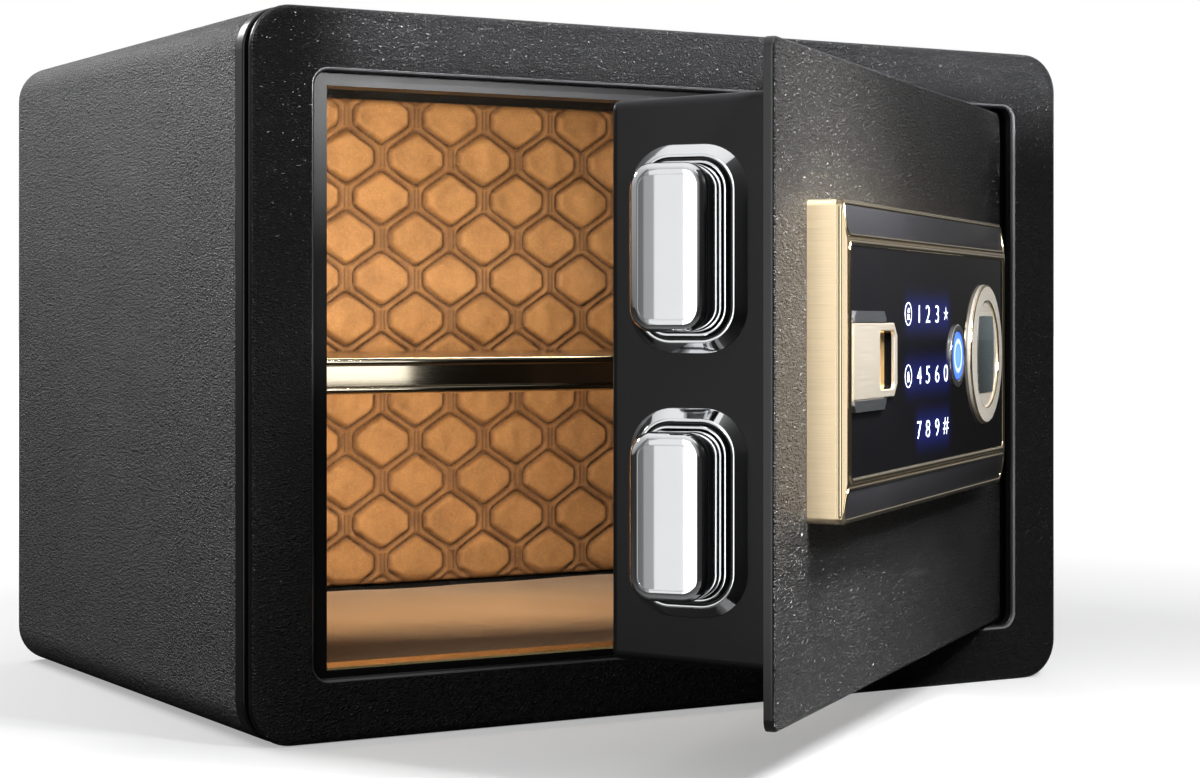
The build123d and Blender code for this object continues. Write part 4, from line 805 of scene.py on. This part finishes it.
def makeBolt(node, name):
    low, high = closedBox(node)
    middle, half = midHalf(low, high)
    edge, fall = boltForm["edge"], boltForm["barrel"]
    # each section: how far behind the tip, and how far in from the sides
    sections = [(None, 0.0), (edge + fall * 1.5, 0.0)]
    for step in range(1, boltForm["edgeSteps"] + 1):
        angle = math.radians(90 * step / boltForm["edgeSteps"])
        sections.append((edge * (1 - math.sin(angle)), edge * (1 - math.cos(angle))))
    lineStart = edge + boltForm["lineAt"]
    for share, deep in ((0, 0), (0.25, 1), (0.75, 1), (1, 0)):
        sections.append((deep * boltForm["lineDeep"], lineStart + share * boltForm["lineWide"]))
    rings = []
    for place, (behind, inset) in enumerate(sections):
        corner = boltForm["corner"] - inset
        ring = []
        for across, up in roundedOutline(half.y - inset, half.z - inset, corner, boltForm["cornerSteps"]):
            barrel = fall * (across / half.y) ** 2 if place > 1 else 0.0
            ring.append((high.x if place == 0 else low.x + behind + barrel, middle.y + across, middle.z + up))
        rings.append(ring)
    shape = loft(rings, capEnd=False)
    fillBarrel(shape, len(rings[-1]), low.x, middle.y, half.y)
    makePiece(name, shape, "boltChrome", "boltwork", (node,), True, sharp=30)


# the bright collar round a bolt and a dark band laid in its channel, in millimetres: (outwards from the bolt, up
# from the case)
collarProfile = (
    (0.4, 0.0), (0.4, 4.75), (0.55, 4.95), (0.85, 5.0), (1.15, 4.95), (1.3, 4.75), (1.3, 1.4), (2.5, 1.4),
    (2.5, 2.95), (2.62, 3.15), (2.85, 3.2), (3.2, 3.2), (3.42, 3.12), (3.62, 2.95), (6.45, 0.3), (6.65, 0.12),
    (6.7, 0.0),
)
channelBandProfile = (
    (1.31, 1.41), (1.31, 4.3), (1.42, 4.36), (1.52, 4.2), (1.62, 1.95), (1.8, 1.75), (2.3, 1.75), (2.49, 1.9),
    (2.49, 1.41),
)


def sweepRound(profile, node, boltNode):
    high = closedBox(node)[1]
    middle, half = midHalf(*closedBox(boltNode))
    rings = []
    for outwards, upwards in profile:
        out = outwards * millimetre
        outline = roundedOutline(half.y + out, half.z + out, boltForm["corner"] + out, boltForm["cornerSteps"])
        rings.append([(high.x - upwards * millimetre, middle.y + across, middle.z + up) for across, up in outline])
    return loft(rings, closed=True)


for side in ("upper", "lower"):
    bolt, collar = "bolt_" + side, "bolt_escutcheon_" + side
    makeBolt(bolt, "polished_bolt_" + side)
    ring = sweepRound(collarProfile, collar, bolt)
    makePiece("polished_escutcheon_" + side, ring, "boltChrome", "door", (collar,), True, sharp=30)
    channelBand = sweepRound(channelBandProfile, collar, bolt)
    makePiece("escutcheon_liner_" + side, channelBand, "channelBlack", "door", swung=True)
print("beads, bolts and collars")

# the back plate is spot welded along its edge
welds = {"inset": 0.009, "corner": 0.008, "spacing": 0.042, "radius": 0.0032, "height": 0.00035}


def makeSpotWelds():
    low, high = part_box("back_plate")
    middle, half = midHalf(low, high)
    outline = roundedOutline(half.x - welds["inset"], half.z - welds["inset"], welds["corner"])
    loop = [(middle.x + across, high.y, middle.z + up) for across, up in outline]
    sizes = {"Spacing": welds["spacing"], "Mark_Radius": welds["radius"], "Mark_Height": welds["height"]}
    mesh = grow("spotWelds", spotMarks, [loop], Material=materials["cabinetCoat"], **sizes)
    makePiece("back_spot_welds", mesh, "cabinetCoat", "cabinet")


makeSpotWelds()


def figureOutline(figure):
    # flat points and faces of a printed figure, centred and brought to size
    curve = bpy.data.curves.new("figure", "FONT")
    curve.body = figure
    curve.align_x = "CENTER"
    curve.offset = keypad["thinned"]
    carrier = bpy.data.objects.new("figure", curve)
    flat = bpy.data.meshes.new_from_object(carrier)
    bpy.data.objects.remove(carrier)
    spots = readPoints(flat)[:, :2]
    faces = [list(polygon.vertices) for polygon in flat.polygons]
    bpy.data.meshes.remove(flat)
    low, high = spots.min(0), spots.max(0)
    scaleUp = keypad["height"] / (high[1] - low[1])
    return (spots - (low + high) / 2) * scaleUp * (keypad["wide"], 1.0), faces


def arc(radiusAcross, radiusUp, degrees, count, lean=0.0):
    turns = [math.radians(degrees * step) for step in range(count)]
    return [(lean + radiusAcross * math.cos(turn), radiusUp * math.sin(turn)) for turn in turns]


def makeFigures():
    shape = bmesh.new()
    lift = glassFront - keypad["proud"]

    def addFlat(outline, faces, across, up):
        corners = [shape.verts.new((across + x, lift, up + z)) for x, z in outline]
        for face in faces or [range(len(corners))]:
            shape.faces.new([corners[place] for place in face])

    def addBand(outer, inner, across, up):
        count = len(outer)
        faces = [(place, place + 1, count + place + 1, count + place) for place in range(count - 1)]
        addFlat(outer + inner, faces, across, up)

    reach, inner, starWide = keypad["starReach"], keypad["starInner"], keypad["starWide"]
    for figures, height in zip(keypad["figures"], keypad["rows"]):
        for figure, across in zip(figures, keypad["columns"]):
            if figure == "*":
                star = [(inner if place % 2 else reach, math.radians(90 + 36 * place)) for place in range(10)]
                outline = [(starWide * far * math.cos(turn), far * math.sin(turn)) for far, turn in star]
                addFlat(outline, None, across, height)
            else:
                addFlat(*figureOutline(figure), across, height)
    for row, height in enumerate(keypad["rows"][:2]):
        # a padlock in a ring: open on the first row, shut on the second
        radius, line, across = keypad["lockRadius"], keypad["lockLine"], keypad["lockColumn"]
        wide, lean = radius * keypad["lockWide"], 0.0 if row else keypad["shackleOpen"]
        addBand(arc(wide, radius, 10, 37), arc(wide - line * 1.5, radius - line, 10, 37), across, height)
        addFlat(roundedOutline(*keypad["lockBody"], 3), None, across, height - keypad["lockDrop"])
        shackle = [arc(*keypad[label], 15, 13, lean) for label in ("shackle", "shackleInside")]
        addBand(*shackle, across, height + lean)
    bmesh.ops.remove_doubles(shape, verts=shape.verts, dist=1e-7)
    bmesh.ops.triangulate(shape, faces=shape.faces)
    bmesh.ops.recalc_face_normals(shape, faces=shape.faces)
    shape.normal_update()
    for face in shape.faces:
        if face.normal.y > 0:
            face.normal_flip()
    # a thin printed layer with its own thickness
    grown = bmesh.ops.extrude_face_region(shape, geom=shape.faces[:])
    for item in grown["geom"]:
        if isinstance(item, bmesh.types.BMVert):
            item.co.y = glassFront - keypad["clear"]
    bmesh.ops.recalc_face_normals(shape, faces=shape.faces)
    makePiece("keypad_figures", shape, "litFigures", "door", swung=True)


makeFigures()
print("lit figures")

# the quilted leather board behind the shelf
lining = {
    "spacing": 0.0009,
    "pitch": 0.035,
    "rowPitch": 0.01834,
    "firstAcross": 0.0087,
    "firstUp": 0.0886,
    "peak": 0.0149,
    "sideEdge": 0.0034,
    "strapHalf": 0.0021,
    "strapSideHalf": 0.0036,
    "padCorner": 0.0015,
    "corner": 0.012,
    "padRise": 0.0024,
    "padEdge": (-0.0002, 0.0022),
    "flatShare": 0.35,
    "mostRise": 1.08,
    "faceDrop": 0.0026,
    "grooveAt": 0.0002,
    "grooveDeep": 0.0015,
    "grooveWide": 0.0006,
    "seamDeep": 0.0007,
    "seamApart": 0.0010,
    "seamWide": 0.00045,
    "strapRise": 0.0006,
    "strapEdge": (0.0004, 0.0016),
    "roll": 0.0022,
}
puffing = {
    "spacing": 0.0035,
    "pressure": 4.0,
    "frames": 20,
    "spare": -0.05,
    "cap": 0.0035,
    "sewnFrom": -0.0004,
    "fullAt": 85,  # the share of points, in per cent, that rise no more than a full pad
    "most": 1.12,
    "plainReach": 0.011,
}
anchorRadius = 0.008
mounts = {mount["name"]: mount for mount in frame["record"]["mounts"]}


def anchorAcross(name):
    # the two places across of a pair of anchor holes
    reach = mounts[name]["dims"]["spacing_x_mm"] * millimetre / 2
    return -reach, reach


def smoothStep(value, low, high):
    share = np.clip((value - low) / (high - low), 0.0, 1.0)
    return share * share * (3.0 - 2.0 * share)


def cornerDistance(sideways, upward, corner):
    # distance past two straight sides that meet in a round corner
    beyond = np.hypot(np.maximum(sideways, 0), np.maximum(upward, 0))
    return beyond + np.minimum(np.maximum(sideways, upward), 0) - corner


def outlineDistance(across, up, low, high, corner, holes):
    # how far outside a rounded board with round holes each point is, negative inside
    sideways = np.abs(across - (low[0] + high[0]) / 2) - (high[0] - low[0]) / 2 + corner
    upward = np.abs(up - (low[1] + high[1]) / 2) - (high[1] - low[1]) / 2 + corner
    distance = cornerDistance(sideways, upward, corner)
    for holeAcross, holeUp in holes:
        distance = np.maximum(distance, anchorRadius - np.hypot(across - holeAcross, up - holeUp))
    return distance


def quiltDistances(across, up):
    # how far outside the nearest pad each point is, and how far from the sewn side edges
    pitch, corner = lining["pitch"], lining["padCorner"]
    slopeAcross = lining["peak"] - lining["sideEdge"]
    slopeLength = math.hypot(slopeAcross, pitch / 2)
    normalAcross, normalUp = slopeAcross / slopeLength, pitch / 2 / slopeLength
    outside = fromSeam = np.full(across.shape, 1.0)
    for odd in (0, 1):
        row = 2 * np.round(((up - lining["firstUp"]) / lining["rowPitch"] - odd) / 2) + odd
        start = lining["firstAcross"] + (0.0 if odd else pitch / 2)
        middle = start + np.round((across - start) / pitch) * pitch
        sideways, upward = np.abs(across - middle), np.abs(up - lining["firstUp"] - row * lining["rowPitch"])
        side = sideways - pitch / 2
        rounded = np.hypot(sideways, corner) - corner * 0.5
        slope = normalAcross * rounded + normalUp * upward - normalUp * lining["peak"]
        pad = cornerDistance(side + lining["strapSideHalf"] + corner, slope + lining["strapHalf"] + corner, corner)
        outside = np.minimum(outside, pad)
        along = np.maximum(upward - lining["sideEdge"] - 0.0008, 0.0)
        fromSeam = np.minimum(fromSeam, np.hypot(np.abs(np.abs(side) - lining["seamApart"]), along))
    return outside, fromSeam


def makeGrid(low, high, spacing):
    # level grid of places and the corners of its cells
    columns = int(round((high[0] - low[0]) / spacing)) + 1
    rows = int(round((high[1] - low[1]) / spacing)) + 1
    across, up = np.meshgrid(np.linspace(low[0], high[0], columns), np.linspace(low[1], high[1], rows))
    numbers = np.arange(rows * columns).reshape(rows, columns)
    corners = np.stack([numbers[:-1, :-1], numbers[:-1, 1:], numbers[1:, 1:], numbers[1:, :-1]], axis=-1)
    return across, up, corners.reshape(-1, 4)


def blowUp(thing, look, sewn=None):
    # blows a cloth up without gravity and gives back where its points go
    modifier = thing.modifiers.new("puff", "CLOTH")
    settings = modifier.settings
    settings.use_pressure = True
    settings.uniform_pressure_force = look["pressure"]
    settings.effector_weights.gravity = 0
    if sewn is not None:
        group = thing.vertex_groups.new(name="sewn")
        group.add([int(place) for place in np.flatnonzero(sewn)], 1.0, "REPLACE")
        settings.vertex_group_mass = "sewn"
        settings.shrink_min = look["spare"]
        settings.quality = 5
    modifier.point_cache.frame_start = 1
    modifier.point_cache.frame_end = look["frames"]
    for frameNumber in range(1, look["frames"] + 1):
        scene.frame_set(frameNumber)
    spots = readPoints(evaluatedMesh(thing, copy=False))
    thing.modifiers.clear()
    scene.frame_set(1)
    return spots


def puffCloth(low, high, sewnDistance):
    # a cloth sewn down along its straps and blown up between them: how far each point rises
    across, up, corners = makeGrid(low, high, puffing["spacing"])
    flat = across.ravel(), up.ravel()
    sewn = sewnDistance(*flat) > puffing["sewnFrom"]
    mesh = bpy.data.meshes.new("puffCloth")
    mesh.from_pydata([(x, 0.0, z) for x, z in zip(*flat)], [], corners.tolist())
    cloth = linkObject("puffCloth", mesh)
    rise = np.clip(np.abs(blowUp(cloth, puffing, sewn)[:, 1]), 0.0, puffing["cap"])
    bpy.data.objects.remove(cloth)
    print("puffed cloth rises", round(float(np.percentile(rise, 90)) * 1000, 2), "mm")
    rise = rise / max(float(np.percentile(rise[~sewn], puffing["fullAt"])), 1e-5)
    return np.clip(rise, 0.0, puffing["most"]).reshape(across.shape)


def resample(values, across, up, low, high):
    # reads a coarse grid at any point, then evens it out
    rows, columns = values.shape
    column = np.clip((across - low[0]) / (high[0] - low[0]) * (columns - 1), 0, columns - 1.001)
    row = np.clip((up - low[1]) / (high[1] - low[1]) * (rows - 1), 0, rows - 1.001)
    left, foot = column.astype(int), row.astype(int)
    shareAcross, shareUp = column - left, row - foot
    upper = values[foot + 1, left] * (1 - shareAcross) + values[foot + 1, left + 1] * shareAcross
    lower = values[foot, left] * (1 - shareAcross) + values[foot, left + 1] * shareAcross
    smooth = lower * (1 - shareUp) + upper * shareUp
    for axis in (0, 1):
        for reach in (1, 2, 1):
            smooth = (np.roll(smooth, reach, axis) + 2 * smooth + np.roll(smooth, -reach, axis)) / 4
    return smooth


def trimGrid(across, up, corners, distance):
    # keeps the cells inside an outline and moves their ragged border onto it
    corners = corners[distance(across, up).ravel()[corners].mean(axis=1) < 0]
    used, places = np.unique(corners, return_inverse=True)
    corners = places.reshape(corners.shape)
    x, z = across.ravel()[used], up.ravel()[used]
    edges = np.sort(np.concatenate([corners[:, [side, (side + 1) % 4]] for side in range(4)]), axis=1)
    pairs, counts = np.unique(edges, axis=0, return_counts=True)
    border = np.unique(pairs[counts == 1])
    step = lining["spacing"] / 20
    for repeat in range(3):
        here = distance(x[border], z[border])
        slopeX = (distance(x[border] + step, z[border]) - distance(x[border] - step, z[border])) / (2 * step)
        slopeZ = (distance(x[border], z[border] + step) - distance(x[border], z[border] - step)) / (2 * step)
        steepness = np.maximum(slopeX**2 + slopeZ**2, 0.2)
        x[border] -= here * slopeX / steepness
        z[border] -= here * slopeZ / steepness
    return x, z, corners, used


def makeLining():
    boxLow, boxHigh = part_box("back_lining")
    low, high = (boxLow.x, boxLow.z), (boxHigh.x, boxHigh.z)
    holes = [(side, mounts["wall_anchors"]["pos_m"][2]) for side in anchorAcross("wall_anchors")]
    roll = lining["roll"]

    def distance(across, up):
        return outlineDistance(across, up, low, high, lining["corner"], holes)

    def sewnDistance(across, up):
        return np.maximum(quiltDistances(across, up)[0], distance(across, up) + roll)

    across, up, corners = makeGrid(low, high, lining["spacing"])
    x, z, corners, used = trimGrid(across, up, corners, distance)
    puffed = resample(puffCloth(low, high, sewnDistance), across, up, low, high).ravel()[used]
    fromPad, fromSeam = quiltDistances(x, z)
    inside = -distance(x, z)
    pad = smoothStep(-fromPad, *lining["padEdge"])
    fullness = lining["flatShare"] + (1.0 - lining["flatShare"]) * puffed
    rise = lining["padRise"] * pad * np.clip(fullness, 0.0, lining["mostRise"])
    groove = np.exp(-((fromPad - lining["grooveAt"]) / lining["grooveWide"]) ** 2)
    seam = np.exp(-((fromSeam / lining["seamWide"]) ** 2))
    strap = lining["strapRise"] * smoothStep(fromPad, *lining["strapEdge"])
    height = rise + strap - lining["grooveDeep"] * groove - lining["seamDeep"] * seam
    height = height * smoothStep(inside, 0.0, roll * 1.6)
    rolled = roll - np.sqrt(np.maximum(roll**2 - np.maximum(roll - inside, 0.0) ** 2, 0.0))
    y = np.maximum(boxLow.y + lining["faceDrop"] - height + rolled * 0.8, boxLow.y)
    mesh = bpy.data.meshes.new("back_lining")
    mesh.from_pydata(np.stack([x, y, z], axis=1).tolist(), [], corners.tolist())
    shape = bmesh.new()
    shape.from_mesh(mesh)
    sides = bmesh.ops.extrude_edge_only(shape, edges=[edge for edge in shape.edges if edge.is_boundary])["geom"]
    for item in sides:
        if isinstance(item, bmesh.types.BMVert):
            item.co.y = boxHigh.y
    bmesh.ops.triangle_fill(shape, use_beauty=False, edges=[edge for edge in shape.edges if edge.is_boundary])
    bmesh.ops.recalc_face_normals(shape, faces=shape.faces)
    piece = makePiece("quilted_lining", shape, "quiltLeather", "cabinet", ("back_lining",), sharp=75)
    # painted shade for the grooves, seams and the strap ground between pads
    sewn = np.clip(groove + seam + 0.3 * (1 - pad), 0.0, 1.0)
    # the second attribute is a painted highlight on the crowns of the puffed pads
    for name, front in (("paintedSeamShade", sewn), ("padTopHighlight", pad * np.clip(puffed, 0.0, 1.0))):
        values = np.zeros(len(piece.data.vertices))
        values[: len(x)] = front
        piece.data.attributes.new(name, "FLOAT", "POINT").data.foreach_set("value", values)


makeLining()
print("quilted lining")

# the fabric pad on the floor
floorPad = {
    "voxel": 0.0045,
    "shrink": 0.0014,
    "cap": 0.0013,
    "pressure": 4.0,
    "frames": 20,
    "plainShare": 0.8,
    "settle": 0.00025,
    "holeSpare": 0.0006,
    "cut": (-0.01, 0.05),
}


def padShape(holes):
    # the pad's own solid with its anchor holes filled in, as even small faces
    shape = bmesh.new()
    shape.from_mesh(nodes["floor_pad"].data)
    bmesh.ops.remove_doubles(shape, verts=shape.verts, dist=1e-6)

    def inHole(vertex):
        return any((vertex.co.xy - hole.xy).length < anchorRadius + floorPad["holeSpare"] for hole in holes)

    walls = [face for face in shape.faces if all(inHole(vertex) for vertex in face.verts)]
    bmesh.ops.delete(shape, geom=walls, context="FACES")
    bmesh.ops.holes_fill(shape, edges=[edge for edge in shape.edges if edge.is_boundary])
    bmesh.ops.triangulate(shape, faces=shape.faces)
    bmesh.ops.recalc_face_normals(shape, faces=shape.faces)
    pad = linkObject("floorPad", toMesh("floorPad", shape))
    remesh = pad.modifiers.new("voxels", "REMESH")
    remesh.mode = "VOXEL"
    remesh.voxel_size = floorPad["voxel"]
    even = evaluatedMesh(pad)
    pad.modifiers.clear()
    pad.data = even
    return pad


def makeFloorPad():
    boxLow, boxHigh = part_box("floor_pad")
    holes = [Vector((side, mounts["floor_anchors"]["pos_m"][1], 0.0)) for side in anchorAcross("floor_anchors")]
    pad = padShape(holes)
    normals = readPoints(pad.data, "normal")
    start = readPoints(pad.data) - normals * floorPad["shrink"]
    pad.data.vertices.foreach_set("co", start.ravel())
    shift = blowUp(pad, floorPad) - start
    length = np.maximum(np.linalg.norm(shift, axis=1, keepdims=True), 1e-9)
    finished = start + shift * np.minimum(1.0, floorPad["cap"] / length)
    # soft hollows where the foam has settled
    x, y = finished[:, 0], finished[:, 1]
    hollows = np.sin(x * 41.0 + 0.7) * np.sin(y * 53.0 + 1.9) + 0.5 * np.sin(x * 97.0 + y * 71.0)
    finished[:, 2] -= floorPad["settle"] * (1.0 + hollows) * (normals[:, 2] > 0.5)
    finished = np.clip(finished, np.array(boxLow), np.array(boxHigh))
    pad.data.vertices.foreach_set("co", finished.ravel())
    pad.data.update()
    smooth = pad.modifiers.new("smooth", "SUBSURF")
    smooth.levels = smooth.render_levels = 1
    leftovers = [pad]
    for hole in holes:
        outline = roundedOutline(*(anchorRadius,) * 3, 10)
        ends = [[hole + Vector((across, along, height)) for across, along in outline] for height in floorPad["cut"]]
        leftovers.append(linkObject("cutter", toMesh("cutter", loft(ends))))
        cut = pad.modifiers.new("hole", "BOOLEAN")
        cut.object = leftovers[-1]
        cut.solver = "EXACT"
    finishedMesh = evaluatedMesh(pad)
    for leftover in leftovers:
        bpy.data.objects.remove(leftover)
    piece = makePiece("floor_cushion", finishedMesh, "floorFabric", "cabinet", ("floor_pad",), sharp=60)


makeFloorPad()
print("floor pad")

studio = {
    "floorSize": 30.0,
    "floorNear": 0.35,
    "floorFar": 1.0,
    "floorLift": 0.36,
    # brightness of the room by height of the direction (its sine), from floor to zenith
    "dome": ((-1.0, 0.02), (-0.16, 0.03), (-0.03, 0.12), (0.05, 0.34), (0.2, 0.48), (0.5, 0.55), (1.0, 1.0)),
    # the room is dark in front on the right, up to this height
    "darkTowards": math.radians(318),
    "darkSide": ((-1.0, 1.0), (0.15, 1.0), (0.62, 0.06), (1.0, 0.06)),
    "darkHeight": (0.5, 0.9),
}
warmTint = (1.0, 0.86, 0.66)
# each lamp: where, width and height, watts, what it is aimed at, tint, spread in degrees
lamps = {
    "topStrip": ((0.06, -0.195, 0.290), (0.40, 0.012), 0.5, (0.06, -0.125, 0.243), (1, 1, 1), 30),
    "doorGraze": ((0.02, -0.40, 0.34), (0.06, 0.06), 0.62, (-0.04, -0.275, 0.15), (1, 1, 1), 55),
    "doorLamp": ((0.03, -0.50, 0.285), (0.08, 0.08), 2.9, (-0.03, -0.26, 0.14)),
    "sideLamp": ((-0.37, 0.42, 0.50), (0.4, 0.10), 2.0, (-0.17, 0.14, 0.19)),
    "keyLamp": ((0.2, -1.3, 1.4), (0.5, 0.4), 0.4, (0.0, -0.1, 0.12)),
    "shelfGlowLeft": ((-0.114, -0.132, 0.130), (0.034, 0.024), 0.008, (-0.114, -0.05, 0.128)),
    "shelfGlowRight": ((-0.066, -0.132, 0.130), (0.044, 0.024), 0.006, (-0.066, -0.05, 0.128)),
    "upperInside": ((-0.04, -0.02, 0.230), (0.2, 0.03), 0.59, (-0.02, 0.115, 0.126), warmTint),
    "lowerInside": ((-0.04, -0.02, 0.108), (0.2, 0.03), 0.45, (-0.02, 0.115, 0.03), warmTint),
}
# cards that only reflections see, round the open door: from and to in degrees, how bright
cards = {
    "centre": (-0.10, -0.265),
    "distance": 0.72,
    "nearEdge": 0.26,
    "foot": 0.001,
    "head": 0.62,
    "tones": {
        "whiteCard": (190.5, 210.0, 0.92),
        "sideCard": (210.0, 234.0, 2.5),
        "greyCard": (183.5, 190.5, 0.40),
        "darkCard": (176.0, 183.5, 0.17),
    },
}


def makeFloor():
    half = studio["floorSize"] / 2
    mesh = bpy.data.meshes.new("studioFloor")
    mesh.from_pydata([(-half, -half, 0), (half, -half, 0), (half, half, 0), (-half, half, 0)], [], [(0, 1, 2, 3)])
    material, vector = newMaterial("palePaper", Roughness=0.6, Specular_IOR_Level=0.0)
    tree = material.node_tree
    seen = addNode("ShaderNodeLightPath", out="Is Camera Ray", tree=tree)
    paper = mixColour(patchesOn(vector, 0.6, 0.6)[0], (0.52, 0.52, 0.525), (0.54, 0.54, 0.54))
    paint(material, Base_Color=mixColour(seen, (0.05, 0.05, 0.05), paper))
    away = vectorMath("LENGTH", vector, out="Value")
    whitened = blendRange(away, studio["floorNear"], studio["floorFar"], studio["floorLift"], 1.0)
    lift = addNode("ShaderNodeEmission", {"Strength": seen * whitened})
    shader = Wire(tree, tree.nodes["Principled BSDF"].outputs[0])
    join(addNode("ShaderNodeAddShader", {0: shader, 1: lift}), tree.nodes["Material Output"].inputs["Surface"])
    mesh.materials.append(material)
    linkObject("studioFloor", mesh)


def makeLamp(name, at, size, watts, aim, tint=(1, 1, 1), spread=180):
    light = bpy.data.lights.new(name, "AREA")
    light.shape = "RECTANGLE"
    light.size, light.size_y = size
    light.energy = watts
    light.color = tint
    light.spread = math.radians(spread)
    lamp = linkObject(name, light)
    lamp.location = at
    lamp.rotation_euler = (Vector(aim) - Vector(at)).to_track_quat("-Z", "Y").to_euler()
    lamp.visible_camera = False


def makeRamp(value, stops):
    # brightness along a run of stops whose places go from -1 to 1
    shade = addNode("ShaderNodeValToRGB", {"Fac": value * 0.5 + 0.5}, "Color")
    points = shade.socket.node.color_ramp.elements
    while len(points) < len(stops):
        points.new(0.5)
    for point, (spot, level) in zip(points, stops):
        point.position = (spot + 1.0) / 2
        point.color = (level, level, level, 1.0)
    return shade


def makeSky():
    scene.world = bpy.data.worlds.new("studioRoom")
    scene.world.use_nodes = True
    tree = scene.world.node_tree
    background = tree.nodes["Background"]
    background.inputs["Color"].default_value = (1, 1, 1, 1)
    direction = addNode("ShaderNodeTexCoord", out="Generated", tree=tree)
    height = separate(direction)[2]
    turn = studio["darkTowards"]
    facing = vectorMath("DOT_PRODUCT", direction, (math.cos(turn), math.sin(turn), 0), out="Value")
    shade = makeRamp(facing, studio["darkSide"])
    shade = shade + blendRange(height, *studio["darkHeight"]) * (1.0 - shade)
    room = makeRamp(height, studio["dome"]) * shade
    rays = addNode("ShaderNodeLightPath", out=("Is Camera Ray", "Is Transmission Ray"), tree=tree)
    direct = doMath("MAXIMUM", *rays)
    join(direct + room * (1.0 - direct), background.inputs["Strength"])


def makeCard(name, start, end, strength):
    # part of an upright drum round the open door with a strip of its floor, lit evenly
    mesh = bpy.data.meshes.new(name)
    centreX, centreY = cards["centre"]
    turns = np.radians(np.linspace(start, end, 8))
    near, far, foot, head = (cards[label] for label in ("nearEdge", "distance", "foot", "head"))
    points = [
        (centreX + away * math.cos(turn), centreY + away * math.sin(turn), height)
        for away, height in ((near, foot), (far, foot), (far, head))
        for turn in turns
    ]
    count = len(turns)
    starts = [place + count * ring for ring in (0, 1) for place in range(count - 1)]
    mesh.from_pydata(points, [], [(place, place + 1, place + 1 + count, place + count) for place in starts])
    material = materials.new(name)
    material.use_nodes = True
    tree = material.node_tree
    lit = addNode("ShaderNodeEmission", {"Strength": strength}, tree=tree)
    join(lit, tree.nodes["Material Output"].inputs["Surface"])
    mesh.materials.append(material)
    card = linkObject(name, mesh)
    card.visible_camera = card.visible_diffuse = card.visible_shadow = card.visible_transmission = False


makeFloor()
makeSky()
for lampName, lamp in lamps.items():
    makeLamp(lampName, *lamp)
for cardName, card in cards["tones"].items():
    makeCard(cardName, *card)

view = {
    "at": (-0.499, -0.889, 0.144),
    "turn": (math.radians(90), 0, math.radians(-29.84)),
    "lens": 74.19,
    "shift": (0.0417, -0.0585),
}
cameraData = bpy.data.cameras.new("camera")
cameraData.lens = view["lens"]
cameraData.sensor_width = 36
cameraData.sensor_fit = "HORIZONTAL"
cameraData.shift_x, cameraData.shift_y = view["shift"]
cameraData.clip_start = 0.01
camera = linkObject("camera", cameraData)
camera.location = view["at"]
camera.rotation_euler = view["turn"]
scene.camera = camera
scene.view_settings.view_transform = "Standard"
print("camera and light")
